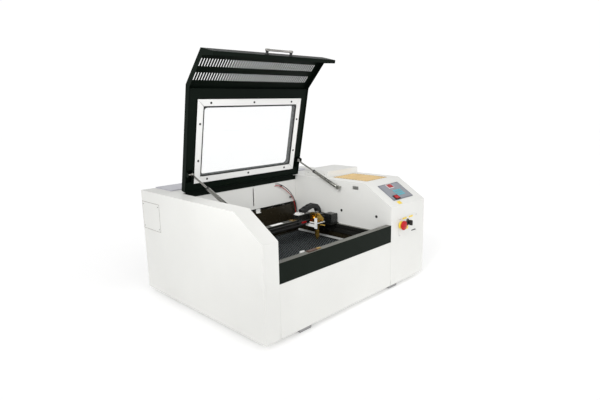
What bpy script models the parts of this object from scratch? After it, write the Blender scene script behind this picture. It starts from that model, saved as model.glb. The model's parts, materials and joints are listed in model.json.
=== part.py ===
"""Desktop CO2 laser cutter, built as separate named pieces.

Units are metres, +Z is up. Sizes below are measured from the cabinet's front left lower corner:
x runs to the right along the front, y runs to the back and z runs up from the cabinet's underside.
ORIGIN moves that corner so that the origin of the finished object is on the floor, under its middle.
"""

import math

import bmesh
import bpy
from mathutils import Matrix, Vector

# Driving dimensions of the cabinet
WIDTH = 0.960
DEPTH = 0.786
HEIGHT = 0.430
FOOT_HEIGHT = 0.020
FOOT_WIDTH = 0.058
FOOT_DEPTH = 0.034
SHEET = 0.0015
GAP = 0.0004
CHAMBER_LEFT = 0.066
CHAMBER_RIGHT = 0.702
CHAMBER_MIDDLE = (CHAMBER_LEFT + CHAMBER_RIGHT) / 2
SLOPE_FRONT_Z = 0.342
SLOPE_BACK_Y = 0.140
REAR_WALL_Y = 0.568
TUBE_BAY_Y = 0.651
ORIGIN = Vector((-WIDTH / 2, -DEPTH / 2, FOOT_HEIGHT))

# Front bar and front panel
BAR_BOTTOM_Z = 0.194
BAR_TOP_Z = 0.266
BAR_DEPTH = 0.026

# Lid, drawn closed about its hinge and stood open by LID_OPEN
HINGE = Vector((0, 0.574, 0.433))
LID_OPEN = math.radians(78.4)
ON_LID = {"pivot": HINGE, "tilt": -LID_OPEN}
LID_SKIN_Z = 0.4315
LID_BEND_Y = 0.145
LID_NOSE = (0.005, 0.3455)
LID_LIP_BOTTOM = (0.008, 0.2695)
LID_LEFT = CHAMBER_LEFT + 0.001
LID_RIGHT = CHAMBER_RIGHT - 0.001
LID_FLANGE = 0.024
LINER_Z = 0.4135
WINDOW_FRAME = (0.108, 0.660, 0.197, 0.534)
FRAME_STRIP = 0.028
FRAME_THICKNESS = 0.006
PANE_THICKNESS = 0.003
SLOTS_PER_ROW = 50
SLOT_PITCH = 0.012
SLOT_LENGTH = 0.036
SLOT_WIDTH = 0.0046
SLOT_ROWS = (0.021, 0.085)

# Gas struts: body pivot on the cabinet wall and rod eye at the lid, both with the lid open
STRUT_PIVOT = Vector((0, 0.272, 0.402))
STRUT_EYE = Vector((0, 0.524, 0.508))
STRUT_INSET = 0.024
CYLINDER_LENGTH = 0.158
CYLINDER_RADIUS = 0.0075
ROD_RADIUS = 0.0040
ROD_BORE = 0.0042
ROD_START = 0.090

# Motion system
RAIL_WIDTH = 0.0135
RAIL_TOP_Z = 0.230
RAIL_HEIGHT = 0.038
BEAM_Y = (0.362, 0.390)
BEAM_Z = (0.2354, 0.268)
HEAD = Vector((0.585, 0.315, 0.277))
NOZZLE_TIP_Z = 0.173
LENS_RADIUS = 0.0085
LENS_BORE = 0.0089
SLEEVE_RADIUS = 0.0098
SLEEVE_TOP_Z = 0.2150
BED_X = (0.096, 0.672)
BED_Y = (0.048, 0.525)
BED_TOP_Z = 0.165
BED_EDGE = 0.010
BED_LIP = 0.0075
BED_LEG = 0.009
PULLEY = Vector((0.6755, 0.3352, 0.2572))
IDLER_X = 0.100
DRIVE_SHAFT = Vector((0, 0.550, 0.180))

# Laser tube and exhaust
TUBE_AXIS = Vector((0, 0.718, 0.277))
TUBE_RADIUS = 0.025
FAN = Vector((0.384, 0.758, 0.120))
FRONT_REACH = 0.028
ESTOP_REACH = 0.024

# Controls
ESTOP = Vector((0.771, 0, 0.256))
KEY = Vector((0.821, 0, 0.259))

MODEL = "desktop_laser_cutter"
CUTTERS = "desktop_laser_cutter_cutters"


def clear_scene():
    for obj in list(bpy.data.objects):
        bpy.data.objects.remove(obj, do_unlink=True)


def make_collection(name):
    collection = bpy.data.collections.get(name) or bpy.data.collections.new(name)
    if name not in bpy.context.scene.collection.children:
        bpy.context.scene.collection.children.link(collection)
    return collection


def material(name, colour, roughness, metallic=0.0, alpha=1.0):
    found = bpy.data.materials.get(name)
    if found:
        return found
    made = bpy.data.materials.new(name)
    made.use_nodes = True
    shader = made.node_tree.nodes["Principled BSDF"]
    shader.inputs["Base Color"].default_value = (*colour, 1.0)
    shader.inputs["Roughness"].default_value = roughness
    shader.inputs["Metallic"].default_value = metallic
    shader.inputs["Alpha"].default_value = alpha
    return made


def white():
    return material("white_paint", (0.80, 0.80, 0.78), 0.45)


def black():
    return material("black_paint", (0.016, 0.021, 0.018), 0.5)


def plastic_black():
    return material("black_plastic", (0.012, 0.012, 0.013), 0.45)


def steel():
    return material("bright_steel", (0.62, 0.62, 0.60), 0.3, 1.0)


def brass():
    return material("brass", (0.72, 0.47, 0.13), 0.3, 1.0)


def rubber():
    return material("rubber", (0.02, 0.02, 0.02), 0.8)


def red_plastic():
    return material("red_plastic", (0.55, 0.01, 0.015), 0.35)


# Building blocks


def add_box(bm, x, y, z):
    """A box between two limits on each axis."""
    lo = Vector((x[0], y[0], z[0]))
    hi = Vector((x[1], y[1], z[1]))
    size = hi - lo
    matrix = Matrix.Translation((lo + hi) / 2) @ Matrix.Diagonal((*size, 1))
    return bmesh.ops.create_cube(bm, size=1, matrix=matrix)["verts"]


def add_cylinder(bm, start, end, radius, segments=24, end_radius=None):
    """A capped cylinder or cone from start to end."""
    start, end = Vector(start), Vector(end)
    axis = end - start
    turn = Vector((0, 0, 1)).rotation_difference(axis).to_matrix().to_4x4()
    matrix = Matrix.Translation((start + end) / 2) @ turn
    top = radius if end_radius is None else end_radius
    return bmesh.ops.create_cone(
        bm, cap_ends=True, segments=segments, radius1=radius, radius2=top,
        depth=axis.length, matrix=matrix,
    )["verts"]


def add_prism(bm, outline, low, high, axis="X"):
    """A closed outline extruded along an axis. The outline is (y, z) along X and (x, z) along Y."""
    def point(pair, along):
        if axis == "X":
            return (along, pair[0], pair[1])
        if axis == "Y":
            return (pair[0], along, pair[1])
        return (pair[0], pair[1], along)

    ring = [bm.verts.new(point(pair, low)) for pair in outline]
    face = bm.faces.new(ring)
    grown = bmesh.ops.extrude_face_region(bm, geom=[face])["geom"]
    verts = [item for item in grown if isinstance(item, bmesh.types.BMVert)]
    step = Vector(point((0, 0), high - low))
    bmesh.ops.translate(bm, verts=verts, vec=step)
    bmesh.ops.recalc_face_normals(bm, faces=bm.faces)
    return bm.verts


def add_strip(bm, line, low, high):
    """An open (y, z) line extruded along X into a folded sheet's surface."""
    verts = [bm.verts.new((low, y, z)) for y, z in line]
    edges = [bm.edges.new(pair) for pair in zip(verts, verts[1:])]
    grown = bmesh.ops.extrude_edge_only(bm, edges=edges)["geom"]
    moved = [item for item in grown if isinstance(item, bmesh.types.BMVert)]
    bmesh.ops.translate(bm, verts=moved, vec=(high - low, 0, 0))


def add_turned(bm, profile, centre, axis, segments=24):
    """A closed turned solid. The profile is (radius, height) pairs that start and end on the axis."""
    turn = Vector((0, 0, 1)).rotation_difference(Vector(axis)).to_matrix().to_4x4()
    matrix = Matrix.Translation(centre) @ turn
    verts = [bm.verts.new(matrix @ Vector((radius, 0, height))) for radius, height in profile]
    edges = [bm.edges.new(pair) for pair in zip(verts, verts[1:])]
    bmesh.ops.spin(
        bm, geom=verts + edges, cent=matrix.translation, axis=matrix.to_3x3() @ Vector((0, 0, 1)),
        angle=2 * math.pi, steps=segments, use_duplicate=False,
    )
    bmesh.ops.remove_doubles(bm, verts=bm.verts, dist=1e-6)
    bmesh.ops.recalc_face_normals(bm, faces=bm.faces)


def drop_faces(bm, test):
    """Opens a closed form where the test on a face's middle is true."""
    doomed = [face for face in bm.faces if test(face.calc_center_median(), face.normal)]
    bmesh.ops.delete(bm, geom=doomed, context="FACES")


def soften(bm, edges, width, segments=3):
    bmesh.ops.bevel(
        bm, geom=edges, offset=width, segments=segments, profile=0.5, affect="EDGES",
        clamp_overlap=True,
    )


def edges_along(bm, axis):
    """The straight edges of a form that run along one axis."""
    found = []
    for edge in bm.edges:
        run = (edge.verts[1].co - edge.verts[0].co).normalized()
        if abs(run[axis]) > 0.999:
            found.append(edge)
    return found


def rounded_plate(bm, x, y, z, corner, axis=2, segments=4):
    """A box whose edges along one axis are rounded."""
    add_box(bm, x, y, z)
    soften(bm, edges_along(bm, axis), corner, segments)


def place(obj, pivot, tilt):
    """Puts a mesh, drawn in cabinet sizes, about its pivot, tilted about the X axis through it."""
    obj.data.transform(Matrix.Translation(-Vector(pivot)))
    obj.location = ORIGIN + Vector(pivot)
    obj.rotation_euler = (tilt, 0, 0)


def finish_mesh(name, bm):
    mesh = bpy.data.meshes.new(name)
    bm.to_mesh(mesh)
    bm.free()
    mesh.shade_smooth()
    mesh.set_sharp_from_angle(angle=math.radians(35))
    return mesh


def part(name, bm, finish, pivot=(0, 0, 0), tilt=0.0):
    obj = bpy.data.objects.new(name, finish_mesh(name, bm))
    obj.data.materials.append(finish)
    make_collection(MODEL).objects.link(obj)
    place(obj, pivot, tilt)
    return obj


def folded(obj, thickness=SHEET):
    """Turns an open surface into sheet metal, with the outer side kept."""
    solidify = obj.modifiers.new("sheet", "SOLIDIFY")
    solidify.thickness = thickness
    solidify.offset = -1
    solidify.use_even_offset = True
    solidify.use_quality_normals = True
    return obj


def tool(obj, bm, operation, pivot=(0, 0, 0), tilt=0.0):
    """Cuts obj with, or joins it to, a hidden form drawn in the same sizes."""
    name = f"{obj.name}_{operation.lower()}_{len(obj.modifiers)}"
    cutter = bpy.data.objects.new(name, finish_mesh(name, bm))
    make_collection(CUTTERS).objects.link(cutter)
    place(cutter, pivot, tilt)
    cutter.hide_render = True
    cutter.display_type = "WIRE"
    boolean = obj.modifiers.new(operation.lower(), "BOOLEAN")
    boolean.operation = operation
    boolean.solver = "EXACT"
    boolean.object = cutter
    return obj


def cut(obj, bm, **where):
    return tool(obj, bm, "DIFFERENCE", **where)


def join(obj, bm, **where):
    return tool(obj, bm, "UNION", **where)


def box_form(x, y, z):
    bm = bmesh.new()
    add_box(bm, x, y, z)
    return bm


def cylinder_form(start, end, radius, segments=24, end_radius=None):
    bm = bmesh.new()
    add_cylinder(bm, start, end, radius, segments, end_radius)
    return bm


# Cabinet


def side_outline():
    """The cabinet's side, as (y, z): upright front, sloped console, flat top, upright back."""
    return [(0, 0), (0, SLOPE_FRONT_Z), (SLOPE_BACK_Y, HEIGHT), (DEPTH, HEIGHT), (DEPTH, 0)]


def side_box(name, low, high):
    """One of the two tall boxes beside the chamber, open below and behind."""
    bm = bmesh.new()
    add_prism(bm, side_outline(), low, high)
    drop_faces(bm, lambda middle, normal: normal.z < -0.9 or normal.y > 0.9)
    return folded(part(name, bm, white()))


def open_inner_wall(obj, x):
    """Clears the chamber side wall behind the tube bay's front, and lifts it off the base pan."""
    cut(obj, box_form((x - 0.003, x + 0.003), (TUBE_BAY_Y, DEPTH + 0.01), (-0.01, 0.4284)))
    cut(obj, box_form((x - 0.003, x + 0.003), (-0.01, TUBE_BAY_Y + 0.01), (-0.01, 0.0226)))


def left_side_shell():
    obj = side_box("left_side_shell", 0, CHAMBER_LEFT)
    open_inner_wall(obj, CHAMBER_LEFT)
    cut(obj, box_form((-0.005, 0.005), (0.6415, 0.7845), (0.2675, 0.3845)))


def access_plate_left():
    """Flush plate over the laser tube's end, with a rounded edge all round."""
    bm = bmesh.new()
    rounded_plate(bm, (0, 0.0018), (0.642, 0.784), (0.268, 0.384), 0.003, axis=0)
    part("access_plate_left", bm, white())


def console_shell():
    obj = side_box("console_shell", CHAMBER_RIGHT, WIDTH)
    open_inner_wall(obj, CHAMBER_RIGHT)
    cut(obj, box_form((CHAMBER_RIGHT - 0.01, 0.8805), (TUBE_BAY_Y, DEPTH + 0.01), (0.42, 0.44)))
    cut(obj, cylinder_form((CHAMBER_RIGHT - 0.01, *DRIVE_SHAFT.yz), (0.712, *DRIVE_SHAFT.yz), 0.008))
    louvres = bmesh.new()
    for row in range(9):
        low = 0.110 + 0.016 * row
        add_box(louvres, (WIDTH - 0.005, WIDTH + 0.005), (0.300, 0.420), (low, low + 0.006))
    cut(obj, louvres)


def base_pan():
    bm = bmesh.new()
    add_box(bm, (0.0019, WIDTH - 0.0019), (0.0019, DEPTH - 0.0019), (0, 0.022))
    drop_faces(bm, lambda middle, normal: normal.z > 0.9)
    folded(part("base_pan", bm, white()))


def front_panel():
    bm = bmesh.new()
    top = BAR_BOTTOM_Z - GAP
    add_strip(bm, [(0, 0), (0, top), (0.018, top)], CHAMBER_LEFT + GAP, CHAMBER_RIGHT - GAP)
    bmesh.ops.recalc_face_normals(bm, faces=bm.faces)
    return part("front_panel", bm, white())


def front_bar():
    bm = bmesh.new()
    line = [(0.016, BAR_BOTTOM_Z), (0, BAR_BOTTOM_Z), (0, BAR_TOP_Z), (BAR_DEPTH, BAR_TOP_Z),
            (BAR_DEPTH, 0.252)]
    add_strip(bm, line, CHAMBER_LEFT + GAP, CHAMBER_RIGHT - GAP)
    return part("front_bar", bm, black())


def sheet_outwards(obj, toward):
    """Thickens a folded strip on the side away from a point inside the fold."""
    first = obj.data.polygons[0]
    middle = Vector(first.center)
    facing = (middle - Vector(toward)).dot(first.normal)
    folded(obj)
    if facing < 0:
        obj.modifiers["sheet"].offset = 1
    return obj


def rear_panel():
    bm = bmesh.new()
    add_box(bm, (0.0019, WIDTH - 0.0019), (DEPTH - SHEET, DEPTH), (0, 0.4281))
    obj = part("rear_panel", bm, white())
    holes = bmesh.new()
    add_cylinder(holes, (FAN.x, DEPTH - 0.01, FAN.z), (FAN.x, DEPTH + 0.01, FAN.z), 0.0635, 32)
    add_box(holes, (0.8352, 0.8648), (DEPTH - 0.01, DEPTH + 0.01), (0.0832, 0.1068))
    for x in (0.600, 0.640):
        add_cylinder(holes, (x, DEPTH - 0.01, 0.090), (x, DEPTH + 0.01, 0.090), 0.0052, 12)
    for row in range(7):
        low = 0.190 + 0.014 * row
        add_box(holes, (0.780, 0.900), (DEPTH - 0.01, DEPTH + 0.01), (low, low + 0.005))
    cut(obj, holes)


def hinge_bridge():
    """Chamber's upper rear wall and the deck behind the hinge, folded from one sheet."""
    bm = bmesh.new()
    line = [(0.580, 0.296), (REAR_WALL_Y, 0.296), (REAR_WALL_Y, HEIGHT), (0.6505, HEIGHT),
            (0.6505, 0.408)]
    add_strip(bm, line, CHAMBER_LEFT + GAP, CHAMBER_RIGHT - GAP)
    obj = sheet_outwards(part("hinge_bridge", bm, white()), (0.3, 0.61, 0.36))
    cut(obj, box_form((0.430, 0.435), (0.560, 0.575), (0.316, 0.398)))


def chamber_tray():
    """Dark inner pan: front wall, floor and lower rear wall, with the exhaust and beam windows."""
    bm = bmesh.new()
    line = [(0.0285, 0.244), (0.0285, 0.062), (0.567, 0.062), (0.567, 0.291)]
    add_strip(bm, line, CHAMBER_LEFT + 0.0008, CHAMBER_RIGHT - 0.0008)
    tray = part("chamber_tray", bm, material("dark_tray", (0.035, 0.026, 0.018), 0.3, 0.6))
    obj = sheet_outwards(tray, (0.3, 0.3, 0.2))
    cut(obj, box_form((0.320, 0.448), (0.55, 0.58), (0.075, 0.140)))
    cut(obj, box_form((0.080, 0.112), (0.55, 0.58), (0.262, 0.30)))


def raised_cover():
    """Low box on the top right of the console, over the electronics."""
    bm = bmesh.new()
    add_box(bm, (0.737, 0.9585), (0.380, 0.536), (HEIGHT + GAP, 0.457))
    drop_faces(bm, lambda middle, normal: normal.z < -0.9)
    folded(part("raised_cover", bm, white()))


def placard():
    bm = bmesh.new()
    low = HEIGHT + GAP
    rounded_plate(bm, (0.751, 0.907), (0.164, 0.363), (low, low + 0.0008), 0.004)
    part("placard", bm, material("yellow_card", (0.80, 0.55, 0.16), 0.5))


def feet():
    """Four rubber pads. The right pair stands in from the console's side."""
    for side, low in (("left", 0.167), ("right", 0.710)):
        for end, front in (("front", 0.012), ("rear", DEPTH - 0.012 - FOOT_DEPTH)):
            bm = bmesh.new()
            add_box(bm, (low, low + FOOT_WIDTH), (front, front + FOOT_DEPTH), (-FOOT_HEIGHT, -GAP))
            soften(bm, list(bm.edges), 0.002, 2)
            part(f"foot_{side}_{end}", bm, rubber())


# Controls on the console


def slope_matrix(along, up, height):
    """Frame on the sloped console: x along the front, y up the slope, z out of the face."""
    run = math.hypot(SLOPE_BACK_Y, HEIGHT - SLOPE_FRONT_Z)
    tilt = math.atan2(HEIGHT - SLOPE_FRONT_Z, SLOPE_BACK_Y)
    base = Matrix.Translation((along, 0, SLOPE_FRONT_Z)) @ Matrix.Rotation(tilt, 4, "X")
    return base @ Matrix.Translation((0, run * up, height))


def slope_plate(name, along, up, size, height, thickness, finish, corner=0.002):
    bm = bmesh.new()
    half = (size[0] / 2, size[1] / 2)
    rounded_plate(bm, (-half[0], half[0]), (-half[1], half[1]), (0, thickness), corner)
    bmesh.ops.transform(bm, matrix=slope_matrix(along, up, height), verts=bm.verts)
    return part(name, bm, finish)


def control_panel():
    panel = material("panel_grey", (0.23, 0.25, 0.29), 0.4)
    slope_plate("control_panel", 0.832, 0.495, (0.151, 0.101), GAP, 0.002, panel)


ROCKER_ALONG, ROCKER_UP = 0.792, 0.268
ROCKER_AXIS_HEIGHT = 0.0050


def rocker_switch():
    """Mains rocker in its bezel. The rocker tips about an axis along the front."""
    above = GAP + 0.002 + GAP
    bezel = slope_plate(
        "rocker_bezel", ROCKER_ALONG, ROCKER_UP, (0.034, 0.026), above, 0.0035, plastic_black())
    hole = box_form((-0.0135, 0.0135), (-0.0095, 0.0095), (-0.01, 0.02))
    bmesh.ops.transform(
        hole, matrix=slope_matrix(ROCKER_ALONG, ROCKER_UP, above), verts=hole.verts)
    cut(bezel, hole)
    bm = bmesh.new()
    outline = [(-0.0030, 0.0036), (0.0030, 0.0036), (0.0085, 0.0062), (0.0085, 0.0085),
               (0, 0.0068), (-0.0085, 0.0105), (-0.0085, 0.0062)]
    add_prism(bm, outline, -0.0128, 0.0128)
    frame = slope_matrix(ROCKER_ALONG, ROCKER_UP, 0)
    bmesh.ops.transform(bm, matrix=frame, verts=bm.verts)
    pivot = slope_matrix(ROCKER_ALONG, ROCKER_UP, ROCKER_AXIS_HEIGHT).translation
    part("power_rocker", bm, red_plastic(), pivot=pivot)


def safety_plate():
    bm = bmesh.new()
    rounded_plate(bm, (0.758, 0.897), (-0.0016, -GAP), (0.206, 0.2860), 0.003, axis=1)
    part("safety_plate", bm, material("plate_white", (0.72, 0.72, 0.70), 0.35))


def emergency_stop():
    """Mushroom button on a fixed collar. The mushroom travels straight in by 5 mm."""
    centre, out = (ESTOP.x, 0, ESTOP.z), (0, -1, 0)
    bm = bmesh.new()
    add_turned(
        bm, [(0, 0.0020), (0.0170, 0.0020), (0.0170, 0.0065), (0.0145, 0.0090), (0, 0.0090)],
        centre, out, 28)
    collar = part("estop_collar", bm, material("collar_yellow", (0.80, 0.52, 0.02), 0.4))
    cut(collar, cylinder_form((ESTOP.x, -0.030, ESTOP.z), (ESTOP.x, -0.0030, ESTOP.z), 0.0075))
    bm = bmesh.new()
    add_turned(
        bm, [(0, 0.0085), (0.0065, 0.0085), (0.0065, 0.0150), (0.0195, 0.0150),
             (0.0205, 0.0175), (0.0195, 0.0205), (0.0140, 0.0232), (0, ESTOP_REACH)],
        centre, out, 28)
    part("estop_button", bm, red_plastic(), pivot=(ESTOP.x, -ESTOP_REACH, ESTOP.z))


def key_switch():
    """Key switch barrel, fixed, and the key that turns in it."""
    x, z = KEY.x, KEY.z
    bm = bmesh.new()
    add_turned(
        bm, [(0, 0.0020), (0.0140, 0.0020), (0.0140, 0.0050), (0.0110, 0.0075), (0.0110, 0.0100),
             (0, 0.0100)],
        (x, 0, z), (0, -1, 0), 24)
    barrel = part("key_barrel", bm, plastic_black())
    cut(barrel, cylinder_form((x, -0.030, z), (x, -0.0045, z), 0.0062))
    bm = bmesh.new()
    add_box(bm, (x - 0.0010, x + 0.0010), (-0.0150, -0.0060), (z - 0.004, z + 0.004))
    key = part("key", bm, plastic_black(), pivot=(x, -0.010, z))
    bow = bmesh.new()
    rounded_plate(
        bow, (x - 0.0025, x + 0.0025), (-FRONT_REACH, -0.0125), (z - 0.0115, z + 0.0115),
        0.004, axis=0)
    join(key, bow)


def lid_sensor():
    """Lid interlock sensor on the front bar's inner lip."""
    bm = bmesh.new()
    add_box(bm, (0.193, 0.213), (0.0266, 0.0335), (0.2535, 0.2700))
    soften(bm, list(bm.edges), 0.0008, 2)
    part("lid_sensor", bm, white())


# Lid


def offset_inwards(line, distance):
    """A (y, z) line moved to its inner side, mitred at its corners."""
    moved = []
    for index, point in enumerate(line):
        before = Vector(line[max(index - 1, 0)])
        after = Vector(line[min(index + 1, len(line) - 1)])
        here = Vector(point)
        sides = [v.normalized() for v in (here - before, after - here) if v.length > 0]
        normals = [Vector((-v.y, v.x)) for v in sides]
        if len(normals) == 2:
            mitre = normals[0] + normals[1]
            moved.append(here + mitre * (distance / mitre.dot(normals[0])))
        else:
            moved.append(here + normals[0] * distance)
    return moved


def lid_shell():
    """Folded outer skin: top, vented slope, front lip, and flanges down both sides and the back."""
    skin = [(0.5660, LID_SKIN_Z), (LID_BEND_Y, LID_SKIN_Z), LID_NOSE, LID_LIP_BOTTOM]
    inner = offset_inwards(skin, LID_FLANGE)
    back = (0.5660, LID_SKIN_Z - LID_FLANGE)
    lip_return = (LID_LIP_BOTTOM[0] + 0.014, LID_LIP_BOTTOM[1])
    outline = skin + [lip_return, tuple(inner[2]), tuple(inner[1]), back]
    bm = bmesh.new()
    add_prism(bm, outline, LID_LEFT, LID_RIGHT)
    bend_in, nose_in = Vector(inner[1]), Vector(inner[2])
    seams = [
        (Vector(back) + bend_in) / 2,
        (bend_in + nose_in) / 2,
        (nose_in + Vector(lip_return)) / 2,
    ]

    def inside(middle, normal):
        point = Vector((middle.y, middle.z))
        return abs(normal.x) < 0.5 and any((point - seam).length < 0.002 for seam in seams)

    drop_faces(bm, inside)
    obj = folded(part("lid_shell", bm, black(), **ON_LID))
    opening = bmesh.new()
    x0, x1, y0, y1 = WINDOW_FRAME
    rounded_plate(
        opening, (x0 + 0.030, x1 - 0.030), (y0 + 0.030, y1 - 0.030), (0.42, 0.45), 0.018)
    cut(obj, opening, **ON_LID)
    cut(obj, vent_slots(), **ON_LID)
    return obj


def vent_slots():
    """Two rows of narrow slots that run down the sloped front of the lid."""
    bend = Vector((0, LID_BEND_Y, LID_SKIN_Z))
    down = Vector((0, LID_NOSE[0], LID_NOSE[1])) - bend
    tilt = math.atan2(-down.z, -down.y)
    first = CHAMBER_MIDDLE - SLOT_PITCH * (SLOTS_PER_ROW - 1) / 2
    bm = bmesh.new()
    for row in SLOT_ROWS:
        for index in range(SLOTS_PER_ROW):
            x = first + SLOT_PITCH * index
            verts = add_box(
                bm, (x - SLOT_WIDTH / 2, x + SLOT_WIDTH / 2), (-row - SLOT_LENGTH, -row),
                (-0.006, 0.006))
            matrix = Matrix.Translation(bend) @ Matrix.Rotation(tilt, 4, "X")
            bmesh.ops.transform(bm, matrix=matrix, verts=verts)
    return bm


def lid_inner_panel():
    """Second skin behind the window, with a notch and a tab for the eye of each gas strut."""
    bm = bmesh.new()
    line = [(0.5635, LINER_Z), (LID_BEND_Y + 0.012, LINER_Z), (LID_BEND_Y + 0.012, 0.4290)]
    low, high = LID_LEFT + SHEET + GAP, LID_RIGHT - SHEET - GAP
    add_strip(bm, line, low, high)
    panel = part("lid_inner_panel", bm, black(), **ON_LID)
    toward = Vector((0, 0.3, 0.40)) - HINGE
    sheet_outwards(panel, toward)
    opening = bmesh.new()
    x0, x1, y0, y1 = WINDOW_FRAME
    rounded_plate(
        opening, (x0 + 0.034, x1 - 0.034), (y0 + 0.034, y1 - 0.034), (0.40, 0.43), 0.015)
    cut(panel, opening, **ON_LID)
    eye = closed_eye()
    for x in (low + 0.0031, high - 0.0311):
        notch = box_form((x, x + 0.028), (eye.y - 0.013, eye.y + 0.038), (0.40, 0.425))
        cut(panel, notch, **ON_LID)
    for x in (low + 0.0005, high - 0.0025):
        tab = bmesh.new()
        outline = [(eye.y - 0.012, LINER_Z + 0.0008), (eye.y + 0.012, LINER_Z + 0.0008),
                   (eye.y + 0.007, eye.z - 0.008), (eye.y - 0.007, eye.z - 0.008)]
        add_prism(tab, outline, x, x + 0.002)
        join(panel, tab, **ON_LID)


def closed_eye():
    """Where the strut's eye is on the closed lid."""
    arm = STRUT_EYE - HINGE
    return HINGE + Matrix.Rotation(LID_OPEN, 3, "X") @ arm


def window_frame():
    """Aluminium strip frame, rebated on the inside for the pane."""
    x0, x1, y0, y1 = WINDOW_FRAME
    top = LINER_Z - GAP
    bm = bmesh.new()
    add_box(bm, (x0, x1), (y0, y1), (top - FRAME_THICKNESS, top))
    obj = part("window_frame", bm, material("frame_white", (0.75, 0.75, 0.72), 0.35),
               **ON_LID)
    strip = FRAME_STRIP
    cut(obj, box_form((x0 + strip, x1 - strip), (y0 + strip, y1 - strip), (0.40, 0.42)),
        **ON_LID)
    rebate = strip - 0.010
    floor = top - PANE_THICKNESS - GAP
    cut(obj, box_form((x0 + rebate, x1 - rebate), (y0 + rebate, y1 - rebate), (floor, 0.42)),
        **ON_LID)


def window_pane():
    x0, x1, y0, y1 = WINDOW_FRAME
    inset = FRAME_STRIP - 0.010 + GAP
    top = LINER_Z - GAP
    bm = bmesh.new()
    rounded_plate(bm, (x0 + inset, x1 - inset), (y0 + inset, y1 - inset),
                  (top - PANE_THICKNESS, top), 0.004)
    part("window_pane", bm, material("pane", (0.9, 0.95, 0.95), 0.05, 0.0, 0.3),
         **ON_LID)


def lid_handle():
    """Bow handle on the outer face of the lip: two posts and a bar, one bent rod."""
    down = Vector((0, *LID_LIP_BOTTOM)) - Vector((0, *LID_NOSE))
    foot = Vector((0, *LID_NOSE)) + down * 0.80
    out = Vector((0, down.z, -down.y)).normalized()
    half, reach, corner = 0.0625, 0.0200, 0.006
    radius = 0.0045
    ends = [foot + Vector((CHAMBER_MIDDLE + side * half, 0, 0)) for side in (-1, 1)]
    points = [ends[0] + out * (GAP)]
    for side, end in ((-1, ends[0]), (1, ends[1])):
        bend = []
        for step in range(5):
            angle = math.radians(90 * step / 4)
            across = -side * corner * (1 - math.cos(angle))
            rise = reach - corner + corner * math.sin(angle)
            bend.append(end + out * rise + Vector((across, 0, 0)))
        points += bend if side < 0 else bend[::-1]
    points.append(ends[1] + out * (GAP))
    bm = swept_rod(points, radius)
    part("lid_handle", bm, steel(), **ON_LID)


def swept_rod(points, radius, resolution=2):
    """A rod along a list of points, as a closed mesh made from a bevelled curve."""
    curve = bpy.data.curves.new("route", "CURVE")
    curve.dimensions = "3D"
    curve.bevel_depth = radius
    curve.bevel_resolution = resolution
    curve.use_fill_caps = True
    spline = curve.splines.new("POLY")
    spline.points.add(len(points) - 1)
    for slot, point in zip(spline.points, points):
        slot.co = (*point, 1)
    guide = bpy.data.objects.new("route", curve)
    bpy.context.scene.collection.objects.link(guide)
    bpy.context.view_layer.update()
    graph = bpy.context.evaluated_depsgraph_get()
    mesh = bpy.data.meshes.new_from_object(guide.evaluated_get(graph))
    bm = bmesh.new()
    bm.from_mesh(mesh)
    bmesh.ops.remove_doubles(bm, verts=bm.verts, dist=1e-6)
    bmesh.ops.recalc_face_normals(bm, faces=bm.faces)
    bpy.data.objects.remove(guide)
    bpy.data.meshes.remove(mesh)
    return bm


def lid_hinge():
    """Long strip hinge: a leaf on the chamber's rear wall, with the pin at its upper edge."""
    bm = bmesh.new()
    add_box(bm, (0.082, 0.686), (REAR_WALL_Y - 0.0016, REAR_WALL_Y - GAP), (0.4090, 0.4300))
    obj = part("lid_hinge", bm, black())
    web = bmesh.new()
    outline = [(REAR_WALL_Y - 0.0016, 0.4285), (REAR_WALL_Y - GAP, 0.4285),
               (REAR_WALL_Y - GAP, HEIGHT + GAP), (HINGE.y, HEIGHT + GAP),
               (HINGE.y, HEIGHT + 2 * GAP + 0.0012), (REAR_WALL_Y - 0.0016, HEIGHT + 0.0016)]
    add_prism(web, outline, 0.082, 0.686)
    join(obj, web)
    join(obj, cylinder_form((0.082, *HINGE.yz), (0.686, *HINGE.yz), 0.0024, 16))


# Gas struts


def strut_angle():
    run = STRUT_EYE - STRUT_PIVOT
    return math.atan2(run.z, run.y)


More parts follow.
